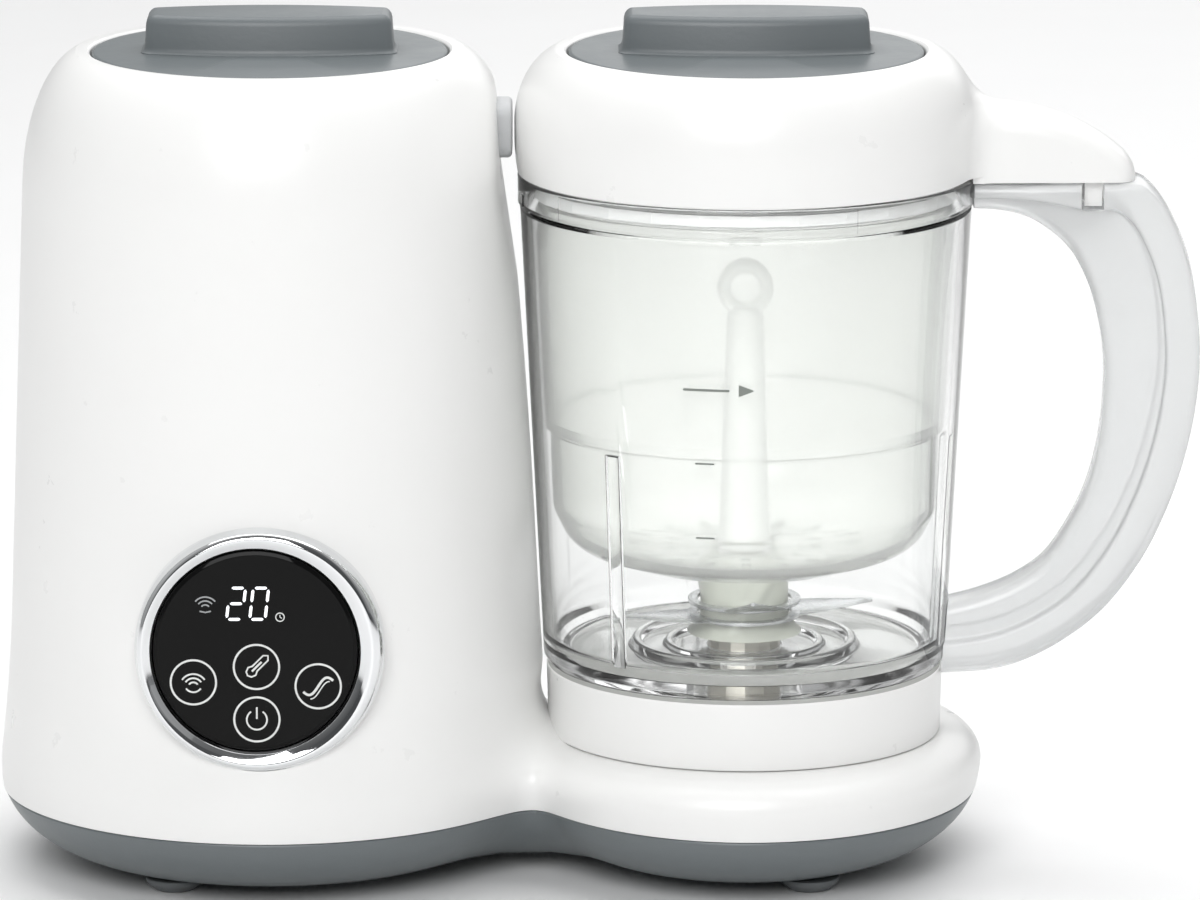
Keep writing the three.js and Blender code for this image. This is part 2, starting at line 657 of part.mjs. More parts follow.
// A two-armed blade on a ring that sits round the hub, its arms curved and lifted at their tips.
function blade(z, radius, turn, lift) {
  const arm = new THREE.Shape();
  arm.moveTo(-5, 9);
  arm.quadraticCurveTo(-radius * 0.5, 8, -radius, 1);
  arm.quadraticCurveTo(-radius * 0.55, -3, -9, -9);
  arm.lineTo(5, -9);
  arm.quadraticCurveTo(radius * 0.5, -8, radius, -1);
  arm.quadraticCurveTo(radius * 0.55, 3, 9, 9);
  const plate = new THREE.ExtrudeGeometry(arm, { depth: 1, bevelEnabled: false, curveSegments: 5 });
  const at = plate.getAttribute("position");
  for (let i = 0; i < at.count; i++) {
    const far = Math.max(0, Math.abs(at.getX(i)) - 14) / (radius - 14);
    at.setZ(i, at.getZ(i) + lift * far);
  }
  plate.rotateZ(turn).translate(JUG_X, 0, z);
  const eye = HUB_R + GAP;
  return cut(join(solid(plate), solid(disc(eye + 2.5, z, z + 1, JUG_X))), solid(disc(eye, z - 1, z + 8, JUG_X)));
}

// ---- Steaming basket with its lifting post ----
const BASKET_SLOTS = 8;
const BASKET_Z = 76.6;
const SHELF_Z = RIB_TOP + 0.4; // shoulder that stands on the jug's ribs

function basket() {
  const shell = turned(
    [
      [7.6, BASKET_Z], [30, BASKET_Z], [38, BASKET_Z + 1.6], [44, BASKET_Z + 5.4], [47.4, BASKET_Z + 9.6],
      [48.6, BASKET_Z + 14.6], [wallInside(RIB_TOP) - 2, SHELF_Z],
      [wallInside(RIB_TOP) - 0.7, SHELF_Z], [wallInside(160) - 0.8, 160], [52.9, 166.4], [52.9, 170.6],
      [50.9, 170.6], [wallInside(160) - 2.6, 160], [wallInside(RIB_TOP) - 2.5, SHELF_Z + 3],
      [wallInside(RIB_TOP) - 3.8, SHELF_Z], [46.8, BASKET_Z + 15], [45.7, BASKET_Z + 10.6], [42.8, BASKET_Z + 7],
      [37.4, BASKET_Z + 3.4], [30, BASKET_Z + 1.8],
      [7.6, BASKET_Z + 1.8],
    ],
    JUG_X,
    0,
    BIG,
  );
  const slots = Array.from({ length: BASKET_SLOTS }, (_, i) =>
    solid(
      box(16, 28, -1.4, 1.4, BASKET_Z - 3, BASKET_Z + 5)
        .rotateZ((2 * Math.PI * i) / BASKET_SLOTS)
        .translate(JUG_X, 0, 0),
    ),
  );
  return cut(solid(shell), ...slots);
}

const POST_TOP = 140;
function liftingPost() {
  const loop = new THREE.Shape();
  loop.moveTo(JUG_X - 7, POST_TOP - 1);
  loop.lineTo(JUG_X + 7, POST_TOP - 1);
  loop.lineTo(JUG_X + 7, POST_TOP + 5);
  loop.absarc(JUG_X, POST_TOP + 5, 7, 0, Math.PI, false);
  const hole = new THREE.Path();
  hole.absarc(JUG_X, POST_TOP + 4.6, 3.8, 0, 2 * Math.PI, true);
  loop.holes.push(hole);
  const foot = BASKET_Z + 2.2;
  const post = turned([[0, foot], [7.2, foot], [6.2, foot + 5], [5, POST_TOP], [0, POST_TOP]], JUG_X, 0, 16);
  return join(solid(post), solid(slab(loop, 2.2)));
}

// ---- Lid ----
const LID_PROFILE = [
  [57.7, 176.8], [LID_R, 184], [LID_R, 190], [57.4, 196], [54.8, 201.4], [51, 205.6], [47, TOP_Z],
];

function lidShell() {
  const lower = RIM_Z + 0.4;
  const shell = turned(
    [
      ...LID_PROFILE, [CAP_R + 0.6, TOP_Z], [CAP_R + 0.6, LEDGE_Z], [NECK_R + 1.8, LEDGE_Z],
      [NECK_R + 1.8, LEDGE_Z - WALL],
      [50, LEDGE_Z - WALL], [54, 196], [56, 190], [56, 184], [55.4, lower],
    ],
    JUG_X,
    0,
    BIG,
  );
  const arm = new THREE.Shape();
  arm.moveTo(JUG_X + 52, HANDLE_TOP + 0.6);
  arm.lineTo(JUG_X + 94.6, HANDLE_TOP + 0.6);
  arm.quadraticCurveTo(JUG_X + 99.2, HANDLE_TOP + 0.8, JUG_X + 98.4, 177.8);
  arm.quadraticCurveTo(JUG_X + 88.6, 190, JUG_X + 66.6, 191.6);
  arm.lineTo(JUG_X + 52, 191.8);
  const inside = turned(
    [[0, 150], [BAND_R + 0.4, 150], [BAND_R + 0.4, lower], [55.7, lower], [56.6, 192], [0, 192]],
    JUG_X,
    0,
    BIG,
  );
  const hookRing = tube(HOOK_X0, HOOK_X1, HOOK_Z, HANDLE_TOP + 2, JUG_X, 0, HOOK_SIDES);
  const hookWidth = box(JUG_X + 70, JUG_X + 100, -7.2, 7.2, HOOK_Z - 1, HANDLE_TOP + 3);
  const hook = solid(hookRing).intersect(solid(hookWidth));
  const armBody = cut(solid(slab(arm, 10.5, 5)), solid(inside));
  const port = disc(2.6, -70, -40, 0, 0, SMALL).rotateY(Math.PI / 2).translate(JUG_X, 0, STEAM_Z);
  return cut(join(solid(shell), armBody, hook), solid(port));
}

const lidInner = () =>
  cut(
    solid(
      turned(
        [
          [51.4, 171.2], [53.2, 171.2], [53.2, 171.6], [52.4, 171.6], [52.4, 175], [53.2, 175], [53.2, 181],
          [55.6, 182], [55.6, 183.8], [NECK_R + 1.4, 183.8], [NECK_R + 1.4, LEDGE_Z - WALL - GAP],
          [NECK_R, LEDGE_Z - WALL - GAP],
          [NECK_R, 182], [51.4, 181],
        ],
        JUG_X,
        0,
        BIG,
      ),
    ),
    ...[-20, 0, 20].map((degrees) =>
      solid(
        disc(2, 180, 186, 0, 0, 10)
          .translate(-46, 0, 0)
          .rotateZ(THREE.MathUtils.degToRad(degrees))
          .translate(JUG_X, 0, 0),
      ),
    ),
  );

// ---- Assembly ----
add("housing", geometryOf(housing()), white);
add("tray", geometryOf(tray()), grey);
FEET.forEach(([x, y], i) => add(`foot_${i + 1}`, foot(x, y), rubber));
PILLARS.forEach(([x, y], i) => add(`base_screw_${i + 1}`, screw(x, y, SCREW_SEAT_Z - 2 - GAP, 26), zinc));

add("panel_bezel", bezel(), chrome);
add("panel_glass", facing(disc(GLASS_R, 65.2, 67.3, 0, 0, BIG)), black);
add("display_module", facing(box(-12, 12, 6, 20, 61.2, 64.9)), black);
add("control_board", facing(disc(24, 59.4, 60.9, 0, 0, MID)), board);

add("water_tank", geometryOf(tank()), steel);
add("heater", tube(22, 36, 97, TANK_Z - GAP, TOWER_X), zinc);
add("steam_pipe", steamPipe(), silicone);
add("steam_outlet", geometryOf(steamOutlet()), silicone);
add("power_board", box(TOWER_X - 28, TOWER_X + 28, 44, 45.6, 34, 88), board);
const gland = tube(3.5, 5.6, 64, TOWER_HALF_DEPTH, 0, 0, SMALL).rotateX(-Math.PI / 2);
add("cord_gland", gland.translate(TOWER_X, 0, CORD_Z), rubber);

add("motor_plate", geometryOf(motorPlate()), zinc);
MOTOR_POSTS.forEach(([x, y], i) => add(`motor_screw_${i + 1}`, screw(x, y, MOTOR_Z0 + 2, 12, 3.1, 1.5), zinc));
add("motor_can", motorCan(), zinc);
add("motor_bearing_lower", bush(MOTOR_Z0, MOTOR_Z0 + 3, 2.8, 5.7, TOWER_X), brass);
add("motor_bearing_upper", bush(MOTOR_Z1 - 3, MOTOR_Z1, 2.8, 5.7, TOWER_X), brass);
add("motor_rotor", rotor(), steel);
add("motor_pulley", pulley(DRIVER_R, 10, 2.8, TOWER_X), grey);
add("drive_belt", geometryOf(belt()), rubber);

function rotor() {
  return turned([[0, 8], [2.5, 8], [2.5, 34], [18, 34], [18, 74], [2.5, 74], [2.5, 88], [0, 88]], TOWER_X);
}

add("spindle_housing", spindleHousing(), zinc);
add("spindle_bush_lower", bush(19.6, 24, SHAFT_R + GAP, 5, JUG_X), brass);
add("spindle_bush_upper", bush(28.4, 33, SHAFT_R + GAP, 5, JUG_X), brass);
add("drive_shaft", disc(SHAFT_R, 7.6, COUPLER_TOP - 0.4, JUG_X, 0, 16), steel);
add("driven_pulley", pulley(DRIVEN_R, 22.4, SHAFT_R + GAP, JUG_X), grey);
add("drive_coupler", geometryOf(driveCoupler()), grey);

add("jug", geometryOf(jug()), clear);
add("jug_handle", geometryOf(handle()), milky);
add("jug_collar", collar(), white);
add("blade_bearing", bladeBearing(), brass);
add("blade_socket", geometryOf(drivenSocket()), grey);
add("blade_shaft", disc(BLADE_SHAFT_R, SOCKET_TOP + 0.6, 68.8, JUG_X, 0, 16), steel);
add("blade_hub", bladeHub(), frosted);
add("blade_lower", geometryOf(blade(61.6, 34, 0.35, 1)), steel);
add("blade_upper", geometryOf(blade(65, 27, 1.75, 5)), steel);

add("basket", geometryOf(basket()), frosted);
add("basket_post", geometryOf(liftingPost()), frosted);

add("lid", geometryOf(lidShell()), white);
add("lid_inner", geometryOf(lidInner()), milky);
add("lid_seal", tube(53, 54.5, 171.9, 174.7, JUG_X, 0, BIG), silicone);

for (const [name, x] of [["tank", TOWER_X], ["lid", JUG_X]]) {
  add(`${name}_cap`, geometryOf(cap(x)), grey);
  add(`${name}_cap_plug`, plug(x), milky);
  add(`${name}_cap_seal`, plugSeal(x), silicone);
}

export default group;
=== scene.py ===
"""The looks of a baby food maker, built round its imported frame.

Shapes are worked out in millimetres and turned into metres by make().
"""

import math
from math import cos, radians, sin

import bmesh
import bpy
import numpy as np
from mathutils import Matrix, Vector


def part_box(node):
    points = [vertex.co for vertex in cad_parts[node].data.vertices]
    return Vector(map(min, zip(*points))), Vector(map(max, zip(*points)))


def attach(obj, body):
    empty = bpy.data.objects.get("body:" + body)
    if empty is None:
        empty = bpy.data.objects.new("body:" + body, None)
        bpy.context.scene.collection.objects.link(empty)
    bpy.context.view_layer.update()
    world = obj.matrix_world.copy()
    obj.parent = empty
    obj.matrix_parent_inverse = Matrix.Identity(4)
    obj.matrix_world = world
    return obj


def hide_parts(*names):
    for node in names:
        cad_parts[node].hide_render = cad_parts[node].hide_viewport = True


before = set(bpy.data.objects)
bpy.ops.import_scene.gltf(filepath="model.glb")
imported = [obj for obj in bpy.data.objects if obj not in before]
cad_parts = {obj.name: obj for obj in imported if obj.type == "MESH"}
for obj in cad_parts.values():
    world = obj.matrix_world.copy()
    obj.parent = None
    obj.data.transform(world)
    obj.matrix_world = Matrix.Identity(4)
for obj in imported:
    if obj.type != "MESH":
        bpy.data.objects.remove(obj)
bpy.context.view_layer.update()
MM = 0.001


def middle(node):
    low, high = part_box(node)
    return [(a + b) / 2 / MM for a, b in zip(low, high)]


# ---- Sizes, in millimetres ----
TX = middle("tank_cap")[0]  # the tower's axis
JX = middle("jug_collar")[0]  # the jug's axis
TOP = 207.5  # tower top, lid top and both caps
LEDGE = 203.6  # the ledge under each cap
DECK = 32.8  # top of the base under the jug
CAP_R = 44.8
COLLAR_R = 50.3
COLLAR_TOP = 49.4
FLOOR = 51.0  # underside of the clear jug
RIM = 176.4  # top of the jug's rim band
BAND = 169.2  # the band's lower edge
BAND_R = 57.5
FOOT_WALL_R = 50.9  # outside of the clear wall, at its foot
MOUTH_WALL_R = 57.0  # and under the rim band
LID_R = 58.25
STEAM_Z = 187.6  # height of the steam outlet's middle
PANEL_Z = 67.9
PANEL_X = TX - 1.2
BASKET_Z = 76.6  # underside of the basket


def add_object(name, data):
    thing = bpy.data.objects.new(name, data)
    bpy.context.collection.objects.link(thing)
    return thing


def set_sockets(node, **values):
    """Sets a shader node's sockets by name, with _ for a space."""
    for label, value in values.items():
        node.inputs[label.replace("_", " ")].default_value = value


# ---- Camera and light ----
VIEW_DISTANCE = 2200
VIEW_ELEVATION = radians(11.85)
AIM = (0.5, 0, 104.6)
LENS = 260.5
LAMP_TARGET = Vector((0, 0, 0.1))  # in metres, as are the lamps' places and sizes


def camera():
    data = bpy.data.cameras.new("camera")
    data.lens = LENS
    data.sensor_width = 36
    data.clip_start = 0.05
    data.clip_end = 60
    eye = add_object("camera", data)
    back = Vector((0, -cos(VIEW_ELEVATION), sin(VIEW_ELEVATION)))
    eye.location = (Vector(AIM) + back * VIEW_DISTANCE) * MM
    eye.rotation_euler = back.to_track_quat("Z", "Y").to_euler()
    bpy.context.scene.camera = eye


def area_light(name, place, size, power):
    data = bpy.data.lights.new(name, "AREA")
    data.shape = "RECTANGLE"
    data.size, data.size_y = size
    data.energy = power
    lamp = add_object(name, data)
    lamp.location = place
    lamp.rotation_euler = (Vector(place) - LAMP_TARGET).to_track_quat("Z", "Y").to_euler()


def studio():
    scene = bpy.context.scene
    scene.view_settings.view_transform = "Standard"
    world = bpy.data.worlds.new("studio")
    scene.world = world
    world.use_nodes = True
    nodes, links = world.node_tree.nodes, world.node_tree.links
    nodes.clear()
    out = nodes.new("ShaderNodeOutputWorld")
    background = nodes.new("ShaderNodeBackground")
    set_sockets(background, Strength=0.5)
    coords = nodes.new("ShaderNodeTexCoord")
    parts = nodes.new("ShaderNodeSeparateXYZ")
    ramp = nodes.new("ShaderNodeValToRGB")
    low, high = ramp.color_ramp.elements
    low.color = (0.62, 0.63, 0.64, 1)
    high.position = 0.55
    links.new(coords.outputs["Generated"], parts.inputs[0])
    links.new(parts.outputs["Z"], ramp.inputs["Fac"])
    # The studio is darker behind the camera, which gives chrome and gloss something to reflect.
    front = nodes.new("ShaderNodeMapRange")
    front.interpolation_type = "SMOOTHSTEP"
    set_sockets(front, From_Min=-0.75, From_Max=-0.1, To_Min=0.1, To_Max=1.0)
    shade = nodes.new("ShaderNodeMix")
    shade.data_type = "RGBA"
    set_sockets(shade, A=(0.08, 0.085, 0.09, 1))
    links.new(parts.outputs["Y"], front.inputs["Value"])
    links.new(front.outputs["Result"], shade.inputs["Factor"])
    links.new(ramp.outputs["Color"], shade.inputs["B"])
    links.new(shade.outputs["Result"], background.inputs["Color"])
    links.new(background.outputs[0], out.inputs["Surface"])
    area_light("key", (-0.26, -2.17, 1.45), (1.5, 1.4), 38)
    area_light("fill", (1.8, -1.2, 1.0), (1.0, 1.6), 0.6)
    area_light("top", (0.1, 0.4, 2.0), (2.6, 2.0), 32)
    area_light("rim", (0.6, 1.9, 0.9), (1.6, 0.9), 5)


# ---- Materials ----
def new_material(name):
    """A new material, with its node tree, its shader and the object's own coordinates."""
    look = bpy.data.materials.new(name)
    look.use_nodes = True
    tree = look.node_tree
    coords = tree.nodes.new("ShaderNodeTexCoord").outputs["Object"]
    return look, tree, tree.nodes["Principled BSDF"], coords


def noise(tree, coords, scale, detail, roughness=0.5):
    cloud = tree.nodes.new("ShaderNodeTexNoise")
    set_sockets(cloud, Scale=scale, Detail=detail, Roughness=roughness)
    tree.links.new(coords, cloud.inputs["Vector"])
    return cloud.outputs["Fac"]


def spread(tree, pattern, low, high):
    """Stretches a noise pattern over a range of values."""
    span = tree.nodes.new("ShaderNodeMapRange")
    set_sockets(span, To_Min=low, To_Max=high, From_Min=0.25, From_Max=0.75)
    tree.links.new(pattern, span.inputs["Value"])
    return span.outputs["Result"]


def tint(tree, shader, pattern, first, second):
    """Gives a shader a colour that drifts between two with a noise pattern."""
    tone = tree.nodes.new("ShaderNodeMix")
    tone.data_type = "RGBA"
    set_sockets(tone, A=(*first, 1), B=(*second, 1))
    tree.links.new(spread(tree, pattern, 0, 1), tone.inputs["Factor"])
    tree.links.new(tone.outputs["Result"], shader.inputs["Base Color"])
    return tone.outputs["Result"]


def roughen(tree, shader, pattern, strength, distance):
    """Gives a shader a bumpy surface that follows a noise pattern."""
    bump = tree.nodes.new("ShaderNodeBump")
    set_sockets(bump, Strength=strength, Distance=distance)
    tree.links.new(pattern, bump.inputs["Height"])
    tree.links.new(bump.outputs["Normal"], shader.inputs["Normal"])


def moulded(name, colour, rough, peel=0.25, peel_scale=260, drift=0.03, swing=0.04, **sockets):
    """Plastic, rubber or plain metal: a slow drift of shade, an uneven gloss and a fine texture."""
    look, tree, shader, coords = new_material(name)
    darker = [c * (1 - drift) for c in colour]
    lighter = [min(1, c * (1 + drift)) for c in colour]
    tint(tree, shader, noise(tree, coords, 14, 4), darker, lighter)
    gloss = spread(tree, noise(tree, coords, 90, 5, 0.6), max(rough - swing, 0.01), rough + swing)
    tree.links.new(gloss, shader.inputs["Roughness"])
    roughen(tree, shader, noise(tree, coords, peel_scale, 2), peel, 0.00006)
    set_sockets(shader, **sockets)
    return look


def brushed(name, colour, rough, along=(1, 1, 60)):
    """Metal with fine brush lines."""
    look, tree, shader, coords = new_material(name)
    stretch = tree.nodes.new("ShaderNodeMapping")
    set_sockets(stretch, Scale=along)
    tree.links.new(coords, stretch.inputs["Vector"])
    lines = noise(tree, stretch.outputs["Vector"], 60, 6, 0.7)
    tint(tree, shader, lines, [c * 0.86 for c in colour], colour)
    tree.links.new(spread(tree, lines, rough - 0.06, rough + 0.08), shader.inputs["Roughness"])
    roughen(tree, shader, lines, 0.2, 0.00005)
    set_sockets(shader, Metallic=1.0)
    return look


def lit(name, colour, strength):
    """A printed or lit mark, a little uneven as a lamp behind a mask is."""
    look, tree, shader, coords = new_material(name)
    tone = tint(tree, shader, noise(tree, coords, 500, 2), [c * 0.82 for c in colour], colour)
    tree.links.new(tone, shader.inputs["Emission Color"])
    set_sockets(shader, Emission_Strength=strength, Roughness=0.4)
    return look


WHITE = moulded("white_plastic", (0.875, 0.875, 0.865), 0.3, peel=0.12, drift=0.012, swing=0.035)
GREY = moulded("grey_plastic", (0.148, 0.166, 0.174), 0.38, peel=0.5, peel_scale=900, drift=0.05)
CLEAR = moulded(
    "clear_plastic", (0.985, 0.992, 0.988), 0.035, peel=0.05, drift=0.01, swing=0.015,
    Transmission_Weight=1.0, IOR=1.5)
HANDLE_CLEAR = moulded(
    "handle_plastic", (0.89, 0.90, 0.902), 0.2, peel=0.2, drift=0.015, swing=0.05,
    Transmission_Weight=0.5, IOR=1.45)
FROSTED = moulded(
    "basket_plastic", (0.965, 0.975, 0.955), 0.1, peel=0.08, peel_scale=300, drift=0.015, swing=0.03,
    Transmission_Weight=0.8, IOR=1.4)
MILKY = moulded(
    "inner_plastic", (0.92, 0.93, 0.92), 0.24, peel=0.2, drift=0.015, Transmission_Weight=0.1, IOR=1.46)
HUB_GREY = moulded("hub_plastic", (0.52, 0.54, 0.48), 0.34, peel=0.4, peel_scale=700, drift=0.04)
CHROME = moulded("chrome", (0.80, 0.81, 0.82), 0.055, peel=0.03, drift=0.02, swing=0.03, Metallic=1.0)
GLASS_BLACK = moulded(
    "panel_black", (0.006, 0.006, 0.006), 0.05, peel=0.03, drift=0.2, swing=0.02, Specular_IOR_Level=0.1)
STEEL = brushed("steel", (0.66, 0.67, 0.68), 0.26)
ZINC = brushed("zinc", (0.48, 0.50, 0.51), 0.42, along=(20, 1, 1))
BRASS = brushed("plated_brass", (0.60, 0.58, 0.52), 0.34)
RUBBER = moulded("rubber", (0.16, 0.17, 0.175), 0.72, peel=0.7, peel_scale=1200, drift=0.06)
# Grey silicone for the steam spout, darker than white: partly its own grey, partly painted shade of the
# narrow gap between tower and lid.
SILICONE_AND_GAP_SHADE = moulded("silicone", (0.50, 0.51, 0.52), 0.5, peel=0.4, peel_scale=900, drift=0.03)
SEAL = moulded("seal_silicone", (0.80, 0.81, 0.80), 0.45, peel=0.4, peel_scale=900, drift=0.03)
BOARD = moulded("circuit_board", (0.02, 0.13, 0.06), 0.4, peel=0.8, peel_scale=500, drift=0.25)
LIT = lit("lit_white", (0.90, 0.92, 0.96), 0.8)
PRINT = lit("print_white", (0.62, 0.63, 0.62), 0.3)
DIM = lit("dim_white", (0.34, 0.35, 0.36), 0.12)
# Painted shade: a grey for the collar's top that stands in for the shadow under the basket.
COLLAR_TOP_PAINTED_SHADE = moulded("collar_top_painted_shade", (0.40, 0.405, 0.39), 0.5, peel=0.5, peel_scale=700, drift=0.06)
MARK = moulded("mark_grey", (0.22, 0.24, 0.22), 0.5, drift=0.1)


# ---- Mesh helpers ----
def new_mesh(name, shape):
    """A mesh in metres from a shape: (points in mm, faces)."""
    points, faces = shape
    mesh = bpy.data.meshes.new(name)
    mesh.from_pydata((np.asarray(points, float) * MM).tolist(), [], [list(map(int, f)) for f in faces])
    return mesh


def make(name, shape, look, body, replaces=(), sharp=32):
    """Turns a shape into an object that rides on a body and stands for CAD nodes."""
    mesh = new_mesh(name, shape)
    mesh.materials.append(look)
    piece = add_object(name, mesh)
    soften(piece, sharp)
    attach(piece, body)
    if replaces:
        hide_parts(*replaces)
    return piece


def soften(piece, sharp):
    """Smooth shading, with edges sharper than an angle left crisp."""
    work = bmesh.new()
    work.from_mesh(piece.data)
    bmesh.ops.recalc_face_normals(work, faces=work.faces)
    for face in work.faces:
        face.smooth = True
    limit = radians(sharp)
    for edge in work.edges:
        edge.smooth = len(edge.link_faces) == 2 and edge.calc_face_angle(0) < limit
    work.to_mesh(piece.data)
    work.free()


def merged(*shapes):
    points, faces = [], []
    for some, these in shapes:
        faces.extend([[len(points) + i for i in f] for f in these])
        points.extend(np.asarray(some, float).tolist())
    return points, faces


def moved(shape, dx=0.0, dy=0.0, dz=0.0, turn=0.0):
    """Turns a shape about the origin's upright axis, then shifts it."""
    x, y, z = np.asarray(shape[0], float).T
    c, s = cos(turn), sin(turn)
    return np.stack([c * x - s * y + dx, s * x + c * y + dy, z + dz], axis=1), shape[1]


def facing(shape):
    """Turns a shape built about +Z to face the user, at the panel's height."""
    x, y, z = np.asarray(shape[0], float).T
    return np.stack([x + PANEL_X, -z, y + PANEL_Z], axis=1), shape[1]


def along_x(shape, start, height):
    """Turns a shape built about +Z to run along +X."""
    x, y, z = np.asarray(shape[0], float).T
    return np.stack([z + start, y, height - x], axis=1), shape[1]


def rounded(corners, closed, steps=5):
    """A path whose corners (a, b, radius) are rounded; a corner with no radius stays sharp."""
    path = []
    n = len(corners)
    for i, corner in enumerate(corners):
        here = Vector(corner[:2])
        radius = corner[2] if len(corner) > 2 else 0
        if not radius or (not closed and i in (0, n - 1)):
            path.append(tuple(here))
            continue
        back = Vector(corners[i - 1][:2]) - here
        ahead = Vector(corners[(i + 1) % n][:2]) - here
        half = back.angle(ahead) / 2
        reach = min(radius / math.tan(half), 0.49 * back.length, 0.49 * ahead.length)
        start, end = here + back.normalized() * reach, here + ahead.normalized() * reach
        centre = here + (back.normalized() + ahead.normalized()).normalized() * (reach / cos(half))
        arm, far = start - centre, end - centre
        swing = arm.angle_signed(far) if arm.length > 1e-9 else 0
        for k in range(steps + 1):
            turn = -swing * k / steps
            c, s = cos(turn), sin(turn)
            path.append((centre.x + c * arm.x - s * arm.y, centre.y + s * arm.x + c * arm.y))
    return path


def turns(count):
    """The angles of a full turn, evenly spaced."""
    return [2 * math.pi * i / count for i in range(count)]


def lathe(corners, x=0.0, y=0.0, sides=96, steps=5):
    """Turns a profile of (radius, height[, rounding]) about a vertical line. Its two ends lie on the axis,
    or it closes on itself."""
    closed = corners[0][0] > 0
    path = rounded(corners, closed, steps)
    angles = turns(sides)
    points, rows = [], []
    for r, z in path:
        if r < 1e-6:
            rows.append([len(points)] * sides)
            points.append((x, y, z))
        else:
            rows.append([len(points) + i for i in range(sides)])
            points.extend((x + r * cos(a), y + r * sin(a), z) for a in angles)
    faces = []
    pairs = list(zip(rows, rows[1:])) + ([(rows[-1], rows[0])] if closed else [])
    for low, high in pairs:
        for i in range(sides):
            j = (i + 1) % sides
            face = list(dict.fromkeys((low[i], low[j], high[j], high[i])))
            if len(face) > 2:
                faces.append(face)
    return points, faces


def rod(r, z0, z1, x=0.0, y=0.0, sides=96):
    """A plain upright cylinder."""
    return lathe([(0, z0), (r, z0), (r, z1), (0, z1)], x, y, sides)


def loft(rings, closed=False):
    """Skins rings of equally many points, and closes both ends with one face each."""
    n = len(rings[0])
    points = [tuple(p) for ring in rings for p in ring]
    faces = []
    count = len(rings)
    for k in range(count if closed else count - 1):
        a, b = k * n, ((k + 1) % count) * n
        faces.extend([a + i, a + (i + 1) % n, b + (i + 1) % n, b + i] for i in range(n))
    if not closed:
        faces.append(list(range(n))[::-1])
        faces.append([(count - 1) * n + i for i in range(n)])
    return points, faces


def prism(ring, z0, z1):
    """A straight-sided solid on an outline, between two heights."""
    return loft([[(x, y, z) for x, y in ring] for z in (z0, z1)])


def block(x0, x1, y0, y1, z0, z1):
    return prism([(x0, y0), (x1, y0), (x1, y1), (x0, y1)], z0, z1)


def combine(piece, shape, operation):
    """Cuts a shape from a piece, or joins it on, exactly."""
    mesh = new_mesh("tool", shape)
    work = bmesh.new()
    work.from_mesh(mesh)
    bmesh.ops.recalc_face_normals(work, faces=work.faces)
    work.to_mesh(mesh)
    work.free()
    tool = add_object("tool", mesh)
    step = piece.modifiers.new("cut", "BOOLEAN")
    step.operation = operation
    step.solver = "MANIFOLD"
    step.object = tool
    bpy.context.view_layer.update()
    result = bpy.data.meshes.new_from_object(piece.evaluated_get(bpy.context.evaluated_depsgraph_get()))
    piece.modifiers.clear()
    piece.data = result
    bpy.data.objects.remove(tool)
    bpy.data.meshes.remove(mesh)


def cut(piece, *shapes):
    for shape in shapes:
        combine(piece, shape, "DIFFERENCE")


def weld(piece, *shapes):
    for shape in shapes:
        combine(piece, shape, "UNION")


def unit(rows):
    return rows / np.linalg.norm(rows, axis=1, keepdims=True)


def evenly(line, count, endpoint=True):
    """Points the same distance apart along a line of points."""
    run = np.concatenate([[0], np.cumsum(np.linalg.norm(np.diff(line, axis=0), axis=1))])
    spots = np.linspace(0, run[-1], count, endpoint=endpoint)
    return np.stack([np.interp(spots, run, line[:, k]) for k in range(line.shape[1])], axis=1)


def spline(controls, count):
    """Evenly spaced points on a smooth curve through the control points."""
    p = np.array(controls, float)
    p = np.vstack([2 * p[0] - p[1], p, 2 * p[-1] - p[-2]])
    dense = []
    for i in range(1, len(p) - 2):
        for t in np.linspace(0, 1, 24, endpoint=False):
            a, b, c, d = p[i - 1], p[i], p[i + 1], p[i + 2]
            bend, twist = 2 * a - 5 * b + 4 * c - d, 3 * b - a - 3 * c + d
            dense.append(0.5 * (2 * b + (c - a) * t + bend * t * t + twist * t**3))
    dense.append(p[-2])
    return evenly(np.array(dense), count)


# ---- Blended skins: a surface is where a field is 0, and the field is negative inside ----
def smooth_min(a, b, k):
    share = np.clip(k - np.abs(a - b), 0, None) / k
    return np.minimum(a, b) - share * share * k / 4


def smooth_max(a, b, k):
    return -smooth_min(-a, -b, k)


